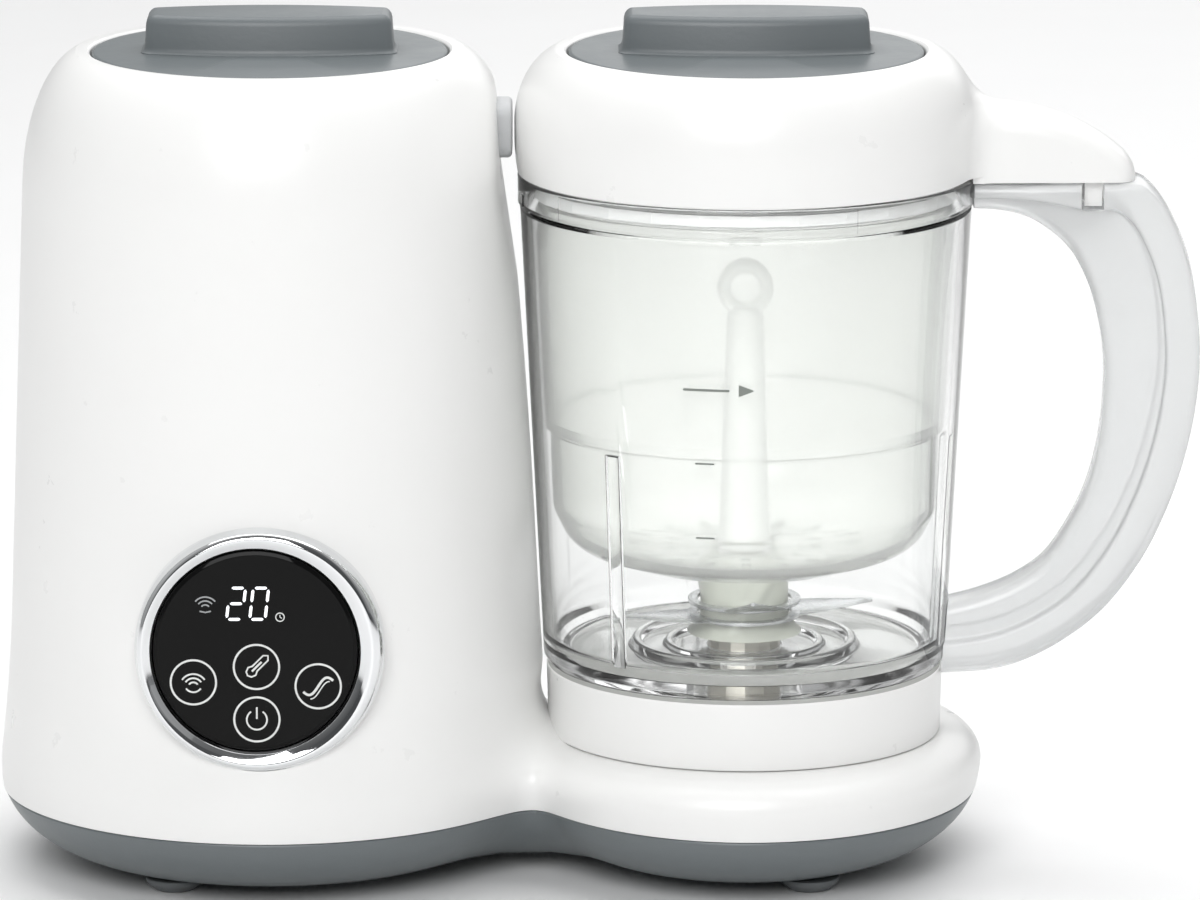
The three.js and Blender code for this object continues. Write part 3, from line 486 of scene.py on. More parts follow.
def skin(field, low, high, step):
    """A quad mesh of the field's zero surface: one point in each crossed cell, moved onto the surface."""
    axes = [np.arange(a, b + step, step) for a, b in zip(low, high)]
    shape = tuple(len(a) for a in axes)
    values = np.broadcast_to(field(*np.meshgrid(*axes, indexing="ij", sparse=True)), shape)
    inside = values < 0
    full = [slice(None, -1), slice(1, None)]
    offsets = [(i, j, k) for i in (0, 1) for j in (0, 1) for k in (0, 1)]
    hits = sum(inside[full[i], full[j], full[k]].astype(np.int8) for i, j, k in offsets)
    crossed = (hits > 0) & (hits < 8)
    index = np.full(crossed.shape, -1)
    index[crossed] = np.arange(crossed.sum())
    cells = np.argwhere(crossed)
    corner = {o: values[cells[:, 0] + o[0], cells[:, 1] + o[1], cells[:, 2] + o[2]] for o in offsets}
    total, count = np.zeros((len(cells), 3)), np.zeros(len(cells))
    for a, b in ((a, b) for a in offsets for b in offsets):
        if sum(b) - sum(a) != 1 or sum(abs(m - n) for m, n in zip(a, b)) != 1:
            continue  # not the two ends of one of the cell's edges
        across = (corner[a] < 0) != (corner[b] < 0)
        gap = np.where(across, corner[a] - corner[b], 1)
        t = (corner[a] / gap)[:, None]
        total += np.where(across[:, None], np.array(a) + t * (np.array(b) - np.array(a)), 0)
        count += across
    points = (cells + total / count[:, None]) * step + np.array(low)
    faces = []
    for a in range(3):
        b, c = (a + 1) % 3, (a + 2) % 3
        first = [slice(None)] * 3
        second = [slice(None)] * 3
        first[a], second[a] = slice(None, -1), slice(1, None)
        near, far = inside[tuple(first)], inside[tuple(second)]
        for sign in (1, -1):
            spots = np.argwhere(near & ~far if sign > 0 else ~near & far)
            spots = spots[(spots[:, b] > 0) & (spots[:, c] > 0)]
            spots = spots[(spots[:, b] < shape[b] - 1) & (spots[:, c] < shape[c] - 1)]
            quad = []
            for db, dc in ((1, 1), (0, 1), (0, 0), (1, 0)):
                cell = spots.copy()
                cell[:, b] -= db
                cell[:, c] -= dc
                quad.append(index[cell[:, 0], cell[:, 1], cell[:, 2]])
            quad = np.stack(quad if sign > 0 else quad[::-1], axis=1)
            faces.extend(quad[(quad >= 0).all(axis=1)].tolist())
    return settle(points, field, step), faces


def settle(points, field, step, rounds=5):
    """Moves points along the field's slope onto its zero surface."""
    h = 0.02  # the step the slope is measured over
    for _ in range(rounds):
        x, y, z = points.T
        value = field(x, y, z)
        in_x = field(x + h, y, z) - field(x - h, y, z)
        in_y = field(x, y + h, z) - field(x, y - h, z)
        in_z = field(x, y, z + h) - field(x, y, z - h)
        slope = np.stack([in_x, in_y, in_z], axis=1) / (2 * h)
        size = np.maximum((slope**2).sum(axis=1), 1e-6)
        move = -(value / size)[:, None] * slope
        length = np.linalg.norm(move, axis=1, keepdims=True)
        points = points + move * np.minimum(1, step / np.maximum(length, 1e-9))
    return points


# ---- The white housing ----
SHOULDER_Z = 175  # where the tower starts to round over
FLAT_Z = 177  # where the flat next to the jug changes its lean
DECK_A, DECK_B = 60.7, 67.0  # the deck round the jug: half length and half depth
WIDEST = 27.5  # height at which the base is widest
SPLIT = 19.2  # where housing and tray part


def ease(t):
    t = np.clip(t, 0, 1)
    return t * t * (3 - 2 * t)


def tower_radius(z):
    """The round wall: a slight taper, a flare low down and a rounded shoulder."""
    wall = 62.4 + 0.0373 * (SHOULDER_Z - z) + 1.5 * (np.clip(65 - z, 0, None) / 35) ** 2
    rise = np.clip((z - SHOULDER_Z) / 33, 0, 0.995)
    return wall - 15.2 * (1 - np.sqrt(1 - rise**2)) - tuck(z)


def tuck(z):
    """How far the base's side draws in again below its widest height."""
    return 1.6 * (np.clip(WIDEST + 3 - z, 0, None) / 12) ** 2


def tower(x, y, z):
    """The round wall, flattened next to the jug."""
    from_axis = np.hypot(x - TX, y)
    # Low down, the side next to the jug swells until it almost meets the jug's wall.
    fade, start = np.clip((135 - z) / 80, 0, 1), ease((z - 44) / 8)
    swell = 1.05 * fade * start * (np.clip(x - TX, 0, None) / (from_axis + 1e-6)) ** 2
    round_part = from_axis - tower_radius(z) - swell
    face = 58.0 - 0.06 * np.clip(z - FLAT_Z, 0, None)
    face = face + 0.15 * np.clip(FLAT_Z - z, 0, 27) + 0.095 * np.clip(150 - z, 0, None)
    bow = 160 + 80 * np.clip((z - 120) / 34, 0, 1) + 460 * np.clip((z - 154) / 23, 0, 1)
    side = x - TX + y * y / bow - face
    return smooth_max(round_part, side, 1.6)


def ellipse(x, y, a, b):
    q = np.sqrt((x / a) ** 2 + (y / b) ** 2) + 1e-9
    return (q - 1) * q / np.sqrt((x / a**2) ** 2 + (y / b**2) ** 2 + 1e-12)


def deck_plan(x, y):
    """The base's plan without the tower's own foot, as a distance."""
    return smooth_min(ellipse(x - JX, y, DECK_A, DECK_B), np.hypot(x - TX, y) - 60, 26)


def deck(x, y, z):
    out = deck_plan(x, y) + tuck(z)
    up = z - DECK
    round_r = 8.0  # rounding of the deck's upper edge
    a, b = out + round_r, up + round_r
    return np.minimum(np.maximum(a, b), 0) + np.hypot(np.maximum(a, 0), np.maximum(b, 0)) - round_r


def housing(x, y, z):
    return smooth_min(tower(x, y, z), deck(x, y, z), 11)


def split_height(x):
    """The parting line of housing and tray dips a little towards the jug."""
    return SPLIT - 0.5 * ease((x - TX - 60) / 60)


def base_outline(count=220):
    """Points round the housing at the parting line, evenly spaced, with outward directions."""
    centre = TX + 64.0
    angles = np.linspace(0, 2 * np.pi, 2401)
    low, high = np.zeros_like(angles), np.full_like(angles, 220.0)
    for _ in range(44):
        r = (low + high) / 2
        x, y = centre + r * np.cos(angles), r * np.sin(angles)
        inside = housing(x, y, np.full_like(x, SPLIT)) < 0
        low, high = np.where(inside, r, low), np.where(inside, high, r)
    line = np.stack([centre + low * np.cos(angles), low * np.sin(angles)], axis=1)
    points = evenly(line, count, endpoint=False)
    along = np.roll(points, -1, axis=0) - np.roll(points, 1, axis=0)
    return points, unit(np.stack([along[:, 1], -along[:, 0]], axis=1))


OUTLINE, OUTWARD = base_outline()


def base_ring(inset, z, follow=0.0):
    """The outline drawn in by an inset. follow is how much of the parting line's dip the ring shares."""
    flat = OUTLINE - OUTWARD * inset
    heights = z + follow * (split_height(flat[:, 0]) - SPLIT)
    return [(x, y, h) for (x, y), h in zip(flat, heights)]


# The recess a cap sits in, from the opening under it: (radius, height[, rounding])
CAP_RECESS = [
    (40, LEDGE, 0.8), (CAP_R + 0.35, LEDGE), (CAP_R + 0.35, TOP - 0.5, 0.7), (CAP_R + 1.6, TOP + 0.4),
    (CAP_R + 1.6, TOP + 2), (0, TOP + 2),
]


def build_housing():
    outer = skin(housing, (TX - 76, -76, 9), (JX + 66, 76, TOP + 4), 1.6)
    piece = make("white_housing", close_bottom(outer), WHITE, "base", ("housing",))
    below = []
    for x in np.linspace(TX - 90, JX + 80, 90):
        edge = split_height(x) + 0.1
        below.append([(x, -84, 0), (x, 84, 0), (x, 84, edge), (x, -84, edge)])
    cut(piece, loft(below))
    cut(piece, block(TX - 90, JX + 90, -90, 90, TOP, TOP + 20))
    weld(piece, lathe([(0, DECK - 4), (44, DECK - 4), (44, 44.5, 1.6), (0, 44.5)], JX, sides=128))
    hollow = skin(
        lambda x, y, z: np.maximum(housing(x, y, z) + 2.6, z - (LEDGE - 2.4)),
        (TX - 76, -76, 4), (JX + 66, 76, TOP + 4), 3.2)
    cut(piece, close_bottom(hollow))
    cut(piece, rod(41.5, DECK - 6, 42, JX))
    weld(piece, rod(18.5, DECK - 2.5, 43, JX))
    cut(
        piece,
        lathe([(0, DECK), (16, DECK, 1), (16, 44, 1.2), (17.2, 45.5), (0, 45.5)], JX),
        rod(10.6, DECK - 4, DECK + 1, JX),
        lathe([(0, 192), (40, 192), *CAP_RECESS], TX, sides=160),
        facing(rod(30.2, 45, 80)),
        along_x(rod(7.4, 40, 80), TX, STEAM_Z),
        moved(tilt_back(rod(5.9, 55, 80)), TX, 0, 27),
    )
    soften(piece, 28)


def tilt_back(shape):
    """Turns a shape built about +Z to run along +Y."""
    x, y, z = np.asarray(shape[0], float).T
    return np.stack([x, z, -y], axis=1), shape[1]


def close_bottom(shape):
    """Closes a skin that runs out through the bottom of its grid."""
    points, faces = shape
    work = bmesh.new()
    verts = [work.verts.new(p) for p in points]
    for face in faces:
        try:
            work.faces.new([verts[i] for i in face])
        except ValueError:
            pass
    rim = [e for e in work.edges if len(e.link_faces) == 1]
    bmesh.ops.holes_fill(work, edges=rim, sides=0)
    bmesh.ops.triangulate(work, faces=[f for f in work.faces if len(f.verts) > 4])
    work.verts.index_update()
    out = [tuple(v.co) for v in work.verts], [[v.index for v in f.verts] for f in work.faces]
    work.free()
    return out


# ---- The grey tray ----
# The tray's outside from its flat underside up, as (inset from the outline, height)
SKIRT = [
    (20, 3.5), (17, 4.2), (13.8, 5.4), (10.6, 7.0), (7.8, 8.9), (5.2, 11.2), (3.0, 13.8), (1.4, 16.4),
    (0.4, 18.6),
]
TRAY_LOW = 3.5
TRAY_RISE = 15.0  # over this height the rings take up the parting line's dip


def build_tray():
    path = spline(SKIRT, 22)
    outer = [base_ring(i, z, (z - TRAY_LOW) / TRAY_RISE) for i, z in path]
    lip = [base_ring(i, z, 1) for i, z in ((0.55, 18.95), (0.95, 19.1), (2.6, 19.1), (2.9, 18.8))]
    inner = [base_ring(i + 2.0, z + 1.6, (z - TRAY_LOW) / TRAY_RISE) for i, z in path[::-1][2:-2]]
    inner.append(base_ring(21, 5.9))
    piece = make("grey_tray", loft(outer + lip + inner), GREY, "base", ("tray",), sharp=40)
    for i in (1, 2, 3, 4):
        x, y, _ = middle(f"base_screw_{i}")
        low = 5.6 if x < 0 else 7.0  # inside the tray's curved wall
        weld(piece, rod(4.6, low, 15.2, x, y, 32))
        hole = [(0, 0), (3.6, 0), (3.6, 8.2, 0.4), (1.8, 8.2), (1.8, 18), (0, 18)]
        cut(piece, lathe(hole, x, y, sides=32))
    for i in (1, 2, 3):
        x, y, _ = middle(f"motor_screw_{i}")
        weld(piece, rod(4, 4.2, 22, x, y, 32))
        cut(piece, rod(1.8, 11, 24, x, y, 24))
    for i in (1, 2, 3, 4):
        x, y, _ = middle(f"foot_{i}")
        cut(piece, rod(2.5, 0, 9, x, y, 24))
    soften(piece, 34)


def build_feet():
    profile = [
        (0, 0.3), (3.4, 0.3, 0.3), (3.8, 0, 0.2), (5.0, 0, 1.5), (7.2, 1.9, 1.4), (7.5, 3.25, 0.3),
        (2.2, 3.25), (2.2, 7, 0.5), (0, 7),
    ]
    for i in (1, 2, 3, 4):
        x, y, _ = middle(f"foot_{i}")
        foot = lathe(profile, x, y, sides=48, steps=4)
        make(f"rubber_foot_{i}", foot, RUBBER, "base", (f"foot_{i}",))


# ---- Caps ----
def bow(half, mid, end, corner, inset, count=26):
    """The grip's outline, drawn in by an inset: two bowed long sides, short ends, rounded corners."""
    xs = np.linspace(-half + inset, half - inset, count)
    sag = (mid - end) * (1 - (xs / half) ** 2) + end - inset
    line = [(x, -y) for x, y in zip(xs, sag)] + [(x, y) for x, y in zip(xs[::-1], sag[::-1])]
    outline = []
    for i, (x, y) in enumerate(line):
        if i in (0, count - 1, count, 2 * count - 1):
            outline.append((x, y, max(corner - inset, 0.3)))
        elif abs(abs(x) - (half - inset)) >= corner:
            outline.append((x, y))
    return rounded(outline, True, 5)


def build_cap(prefix, x):
    disc = [(0, LEDGE + 0.3), (CAP_R - 0.4, LEDGE + 0.3, 0.6), (CAP_R, TOP - 0.2, 0.9), (0, TOP + 0.25)]
    disc = lathe(disc, x, sides=160)
    piece = make(f"{prefix}_cap_grip", disc, GREY, f"{prefix}_cap_body", (f"{prefix}_cap",))
    top = TOP + 9.6  # the grip bar's top
    levels = [
        (TOP - 1.5, -0.9), (TOP + 0.1, -0.9), (TOP + 0.35, -0.4), (TOP + 0.9, -0.05), (TOP + 1.6, 0.1),
        (top - 2.2, 0.5), (top - 1.3, 0.75), (top - 0.6, 1.25), (top - 0.15, 1.9), (top, 2.8),
    ]
    rings = [[(px + x, py, z) for px, py in bow(31.2, 12.6, 7.6, 3.4, inset)] for z, inset in levels]
    weld(piece, loft(rings))
    soften(piece, 38)


# ---- Control panel ----
def ring_offset(profile, sides=160):
    """A closed turned ring whose centre moves with each profile point: (radius, height, x, y)."""
    rings = []
    for r, z, cx, cy in profile:
        rings.append([(cx + r * cos(a), cy + r * sin(a), z) for a in turns(sides)])
    return loft(rings, closed=True)


GLASS_SHIFT = (-1.0, 0.1)  # the black glass sits a little to the left in its chrome ring
GLASS_FRONT = 67.6
MARK_FRONT = GLASS_FRONT + 0.07


def build_panel():
    sx, sy = GLASS_SHIFT
    corners = [
        (30.9, 58), (30.9, 65.6, 1.2), (30.0, 68.6, 1.6), (28.6, 69.5, 1.0), (27.4, 68.9, 0.5),
        (26.1, 68.1, 0.4), (25.5, 67.0, 0.2), (25.5, 58),
    ]
    profile = []
    for r, z in rounded(corners, True, 4):
        share = max(0.0, min(1.0, (30.4 - r) / 3.6))
        profile.append((r, z, sx * share, sy * share))
    ring = facing(ring_offset(profile))
    make("chrome_ring", ring, CHROME, "base", ("panel_bezel",), sharp=40)
    glass = [(0, 65.4), (25.3, 65.4), (25.3, 67.0, 0.3), (24.2, 67.35, 0.8), (0, GLASS_FRONT)]
    glass = facing(moved(lathe(glass, sides=128), sx, sy))
    make("panel_window", glass, GLASS_BLACK, "base", ("panel_glass",))


def strip(path, sides, closed=False):
    """A thin printed strip: the points of a path, and how far it reaches to the side of each."""
    rings = []
    for q, s in zip(path, sides):
        foot = [(*(q - s), GLASS_FRONT), (*(q + s), GLASS_FRONT)]
        rings.append(foot + [(*(q + s), MARK_FRONT), (*(q - s), MARK_FRONT)])
    return loft(rings, closed=closed)


def ribbon(path, width, closed=False):
    """A flat printed line along a path in the panel's plane."""
    p = np.array(path, float)
    ahead = np.roll(p, -1, axis=0) - p
    behind = p - np.roll(p, 1, axis=0)
    if not closed:
        ahead[-1], behind[0] = behind[-1], ahead[0]
    along = unit(ahead) + unit(behind)
    along /= np.maximum(np.linalg.norm(along, axis=1, keepdims=True), 1e-9)
    return strip(p, np.stack([-along[:, 1], along[:, 0]], axis=1) * width / 2, closed)


def arc(cx, cy, r, start, end, count):
    angles = np.radians(np.linspace(start, end, count))
    return [(cx + r * cos(a), cy + r * sin(a)) for a in angles]


def circle(cx, cy, r, count):
    return arc(cx, cy, r, 0, 360, count + 1)[:-1]


def panel_marks():
    """The four touch marks: steam, temperature, blades and power."""
    shapes = []

    def draw(path, width=0.42, closed=False):
        shapes.append(ribbon(path, width, closed))

    spots = {"steam": (-15.3, -7.8), "heat": (0.3, -3.9), "blade": (15.5, -8.8), "power": (0.3, -17.2)}
    for cx, cy in spots.values():
        draw(circle(cx, cy, 5.6, 64), 0.5, True)
    cx, cy = spots["steam"]
    for r in (1.3, 2.35, 3.4):
        draw(arc(cx, cy - 1.3, r, 35, 145, 16))
    draw(arc(cx, cy - 0.3, 2.2, 215, 325, 14))
    cx, cy = spots["heat"]
    lean = radians(45)
    c, s = cos(lean), sin(lean)
    tube = [
        (-0.85, -0.6), (-0.85, 3.2), (0, 4.05), (0.85, 3.2), (0.85, -0.6), (1.35, -1.6), (0.9, -2.7),
        (0, -3.1), (-0.9, -2.7), (-1.35, -1.6),
    ]
    draw([(cx + px * c + py * s, cy - px * s + py * c) for px, py in tube], 0.4, True)
    draw([(cx + t * s, cy + t * c) for t in (-1.6, 0, 1.8)], 0.5)
    cx, cy = spots["blade"]
    wave = [(cx + t, cy + 1.5 * sin(t * 0.82) + t * 0.34) for t in np.linspace(-3.7, 3.7, 24)]
    draw(wave, 0.62)
    draw([(px + 0.45, py - 1.0) for px, py in wave[4:-4]], 0.3)
    cx, cy = spots["power"]
    draw(arc(cx, cy - 0.1, 2.5, 125, 415, 36))
    draw([(cx, cy + 0.1), (cx, cy + 1.6), (cx, cy + 3.1)])
    return shapes


SEGMENTS = {"2": "abged", "0": "abcdef"}


def digit(symbol, cx, cy, width=3.8, height=7.9, thick=0.72):
    """A leaning seven-segment digit."""
    w, h = width / 2, height / 2
    g = 0.42  # half of the gap between two segments' ends
    ends = {
        "a": ((-w + g, h), (w - g, h)), "d": ((-w + g, -h), (w - g, -h)), "g": ((-w + g, 0), (w - g, 0)),
        "b": ((w, g), (w, h - g)), "c": ((w, -h + g), (w, -g)),
        "f": ((-w, g), (-w, h - g)), "e": ((-w, -h + g), (-w, -g)),
    }
    shapes = []
    for key in SEGMENTS[symbol]:
        (x0, y0), (x1, y1) = ends[key]
        steps = [(x0 + (x1 - x0) * t, y0 + (y1 - y0) * t) for t in (0, 0.12, 0.88, 1)]
        lean = [(cx + x + 0.12 * y, cy + y) for x, y in steps]
        shapes.append(tapered(lean, thick))
    return shapes


def tapered(path, width):
    """A straight segment through four points, narrower at its ends."""
    p = np.array(path, float)
    along = (p[-1] - p[0]) / np.linalg.norm(p[-1] - p[0])
    side = np.array([-along[1], along[0]]) * width / 2
    return strip(p, [side * share for share in (0.25, 1, 1, 0.25)])


def on_glass(shapes):
    return facing(moved(merged(*shapes), *GLASS_SHIFT))


def build_display():
    make("panel_marks", on_glass(panel_marks()), PRINT, "base")
    digits = digit("2", -4.6, 12.1) + digit("0", 1.1, 12.1)
    make("display_digits", on_glass(digits), LIT, "base", ("display_module",))
    clock = [ribbon(circle(6.2, 8.7, 1.05, 24), 0.26, True)]
    clock.append(ribbon([(6.2, 9.3), (6.2, 8.7), (6.65, 8.4)], 0.22))
    make("minutes_mark", on_glass(clock), PRINT, "base")
    steam = [ribbon(arc(-12.2, 10.6, r, 40, 140, 12), 0.36) for r in (1.2, 2.2, 3.2)]
    steam.append(ribbon([(-13.6, 10.2), (-12.2, 9.9), (-10.8, 10.2)], 0.36))
    make("steam_mark", on_glass(steam), DIM, "base")


# ---- Steam outlet ----
def build_outlet():
    x0, x1 = TX + 56.5, JX - LID_R - 0.5
    w, h = 8.4, 6.9  # half width and half height
    ring = rounded([(-w, -h, 3.4), (w, -h, 3.4), (w, h, 3.4), (-w, h, 3.4)], True, 6)
    rings = []
    for x, inset in ((x0, 0), (x1 - 1.0, 0), (x1 - 0.35, 0.3), (x1, 0.9)):
        rings.append([(x, y * (1 - inset / w), STEAM_Z + z * (1 - inset / h)) for y, z in ring])
    # The spout's grey is partly painted shade of the narrow gap it sits in, between tower and lid.
    piece = make("steam_spout", loft(rings), SILICONE_AND_GAP_SHADE, "base", ("steam_outlet",))
    cut(piece, along_x(rod(2.8, 50, 70), TX, STEAM_Z))
    soften(piece, 35)


# ---- Jug ----
def wall_out(z):
    return FOOT_WALL_R + (MOUTH_WALL_R - FOOT_WALL_R) * (z - FLOOR) / (BAND - 2 - FLOOR)


def wall_in(z):
    return wall_out(z) - 2.4


RIB_TOP = 111.6


def round_jug(section, angle):
    """A section of (radius, height) points, placed at an angle round the jug's axis."""
    return [(JX + r * cos(angle), r * sin(angle), z) for r, z in section]


def band_plate(start, end, drop=0.0):
    """A slightly raised stretch of the rim band, as on a bayonet collar."""
    low, high = BAND + 0.5, RIM - 0.7 - drop
    section = [(56.5, low), (BAND_R + 0.3, low), (BAND_R + 0.3, high), (56.5, high)]
    count = max(3, int(abs(end - start) / 2))
    return loft([round_jug(section, a) for a in np.radians(np.linspace(start, end, count))])


def build_jug():
    floor_rings = [
        (44.6, 54.2, 2.2), (29.2, 54.0, 0.6), (28.4, 56.2, 0.8), (26.4, 56.2, 0.8), (25.8, 54.2, 0.6),
        (20.6, 54.2, 0.5), (20.0, 55.4, 0.6), (18.4, 55.4, 0.6), (17.8, 54.0, 0.5), (9.6, 54.0),
    ]
    profile = [
        (9.6, FLOOR), (49.9, FLOOR, 1.6), (wall_out(53), 53.0, 1.0), (MOUTH_WALL_R - 0.1, BAND - 1.5, 0.2),
        (MOUTH_WALL_R - 1.1, BAND - 0.5, 0.1), (MOUTH_WALL_R - 1.1, BAND, 0.1), (BAND_R, BAND, 0.2),
        (BAND_R, RIM, 0.7), (55.1, RIM, 0.7), (55.1, BAND + 0.6, 0.8),
        (wall_in(BAND - 1.4), BAND - 1.4, 0.8), (wall_in(58), 58, 3.2), *floor_rings,
    ]
    piece = make("clear_jug", lathe(profile, JX, sides=180), CLEAR, "jug_body", ("jug",))
    piece.visible_shadow = False  # clear plastic lets the lamps light what is inside
    for degrees in (-130, -15, 105):
        turn = radians(degrees)
        sides = []
        for y, inset in ((-2.1, 0.9), (-1.8, 0.25), (-1.2, 0), (1.2, 0), (1.8, 0.25), (2.1, 0.9)):
            deep = 1.5 - inset
            low, high = wall_in(58), wall_in(RIB_TOP)
            rib = [
                (low - deep, 53.0), (low + 1.0, 53.0), (high + 1.0, RIB_TOP), (high - deep + 0.4, RIB_TOP),
                (high - deep, RIB_TOP - 0.5),
            ]
            sides.append([(r, y, z) for r, z in rib])
        weld(piece, moved(loft(sides), JX, turn=turn))
    weld(piece, band_plate(-144.6, -62.4), band_plate(-171, -166.5, 3.2))
    soften(piece, 32)


def raised(z0, z1, angle):
    """A section that stands a little proud of the jug's outside between two heights."""
    corners = ((z0, -0.2), (z1, -0.2), (z1, 0.28), (z0, 0.28))
    return round_jug([(wall_out(z) + out, z) for z, out in corners], angle)


def patch(angle0, angle1, z0, z1):
    """A raised mark that follows the jug's outside."""
    return loft([raised(z0, z1, a) for a in np.radians(np.linspace(angle0, angle1, 14))])


def build_level_marks():
    marks = [patch(-107, -95, 130.7, 131.25), patch(-104, -99, 112, 112.4), patch(-104, -99, 93, 93.4)]
    angles, halves = np.radians(np.linspace(-92.6, -88.8, 8)), np.linspace(1.5, 0.12, 8)
    arrow = loft([raised(131 - h, 131 + h, a) for a, h in zip(angles, halves)])
    make("level_marks", merged(*marks, arrow), MARK, "jug_body")


def build_collar():
    profile = [
        (47.2, DECK + 0.2, 0.6), (49.8, DECK + 0.2, 0.5), (COLLAR_R, COLLAR_TOP + 0.6, 0.5),
        (48.6, COLLAR_TOP + 1.2, 0.4), (13.6, COLLAR_TOP + 1.2, 0.3), (13.6, COLLAR_TOP - 1, 0.3),
        (47.2, COLLAR_TOP - 1, 1.0),
    ]
    shape = lathe(profile, JX, sides=160)
    piece = make("white_collar", shape, WHITE, "jug_body", ("jug_collar",))
    # Its top, seen through the jug's floor, gets a darker grey than the side: painted shade that stands in
    # for the shadow under the basket.
    piece.data.materials.append(COLLAR_TOP_PAINTED_SHADE)
    for face in piece.data.polygons:
        if face.center.z > (COLLAR_TOP + 0.9) * MM and face.normal.z > 0.8:
            face.material_index = 1


# The handle's outer and inner edges, from its top end down: (distance from the jug's axis, height)
HANDLE_OUT = [
    (57.2, 174.3), (70.65, 174.3), (82.65, 174.3), (91.65, 174.4), (97.25, 174.8), (101.25, 173),
    (105.85, 167.2), (110.75, 156), (113.35, 143), (114.25, 130), (113.25, 117), (110.55, 104),
    (106.45, 91.5), (100.25, 78.5), (91.65, 66.6), (82.65, 58.8), (72.65, 53), (62.65, 49.8), (49.6, 48.8),
]
HANDLE_IN = [
    (57.2, 167.8), (63.15, 167.4), (68.65, 166.2), (73.85, 163.8), (80.05, 158.8), (84.25, 152.6),
    (87.95, 143), (90.35, 130), (90.35, 117), (88.65, 104), (84.65, 91.5), (77.05, 78.7), (69.35, 72.5),
    (60, 68.4), (49.8, 65.6),
]


def build_handle():
    outer, inner = spline(HANDLE_OUT, 110), spline(HANDLE_IN, 110)
    rings = []
    for o, n in zip(outer, inner):
        width = np.linalg.norm(n - o)
        toward = (n - o) / width
        flange = min(8.6, width * 0.45)
        corners = [
            (0, -10.6, 2.2), (flange, -10.9, 1.0), (flange + 0.4, -8.2, 0.8), (width - 0.2, -7.4, 3.0),
            (width, 0, 0.1), (width - 0.2, 7.4, 3.0), (flange + 0.4, 8.2, 0.8), (flange, 10.9, 1.0),
            (0, 10.6, 2.2), (-0.5, 0, 0.1),
        ]
        ring = [(JX + o[0] + toward[0] * s, y, o[1] + toward[1] * s) for s, y in rounded(corners, True, 4)]
        rings.append(ring)
    piece = make("clear_handle", loft(rings), HANDLE_CLEAR, "jug_body", ("jug_handle",))
    jug_space = [
        (0, 40), (COLLAR_R + 0.2, 40), (COLLAR_R + 0.2, 50.7), (wall_out(53) + 0.2, 53.0),
        (MOUTH_WALL_R + 0.2, BAND - 1.2), (BAND_R + 0.25, BAND), (BAND_R + 0.25, RIM + 5), (0, RIM + 5),
    ]
    cut(
        piece,
        lathe(jug_space, JX, sides=180),
        lathe([(84.7, 168.0, 0.5), (90.3, 168.0, 0.5), (90.3, 180), (84.7, 180)], JX, sides=240),
    )
    soften(piece, 30)


# ---- Blade unit ----
def build_blades():
    foot, head = 57.6, 75  # the holder's heights
    rings = []
    for t in np.linspace(0, 1, 16):
        z = foot + (head - foot) * t
        flare = 14.6 - 3.4 * min(1, t * 6) if t < 0.3 else 11.2
        radius = flare - 1.8 * max(0, t - 0.86) / 0.14
        ring = []
        for a in turns(96):
            vane = 0.7 * max(0, cos(3 * (a - 1.3 * t))) ** 6 * min(1, t * 5) * (1 if t < 0.9 else 0.3)
            ring.append((JX + (radius + vane) * cos(a), (radius + vane) * sin(a), z))
        rings.append(ring)
    piece = make("blade_holder", loft(rings), HUB_GREY, "blade_unit", ("blade_hub",))
    cut(piece, lathe([(0, 55), (3.9, 55), (3.9, 69.2, 0.3), (0, 69.2)], JX, sides=48))
    soften(piece, 35)
    build_blade("lower_blade", "blade_lower", 61.6, 34, 0.35, 1.0)
    build_blade("upper_blade", "blade_upper", 65.0, 27, 1.75, 5.0)


def build_blade(name, node, z, reach, turn, lift):
    """Two swept arms with ground edges, on a ring round the holder."""
    rings = []
    for s in np.linspace(-1, 1, 61):
        x = s * reach
        far = max(0, abs(x) - 13) / (reach - 13)
        sweep = -math.copysign(1, s) * 3.2 * far**1.5
        half = 7.6 * (1 - far**1.6) + 0.5
        rise = lift * far
        edge = min(2.2, half * 0.6)
        front, back, low = sweep - half, sweep + half, z + rise
        section = [
            (front, low + 0.45), (front + edge, low), (back - edge, low), (back, low + 0.45),
            (back, low + 0.55), (back - edge, low + 1), (front + edge, low + 1), (front, low + 0.55),
        ]
        rings.append([(x, across, up) for across, up in section])
    piece = make(name, moved(loft(rings), JX, turn=turn), STEEL, "blade_unit", (node,))
    weld(piece, lathe([(0, z), (14.4, z, 0.2), (14.4, z + 1, 0.2), (0, z + 1)], JX, sides=96))
    cut(piece, rod(12.1, z - 4, z + 8, JX))
    soften(piece, 24)


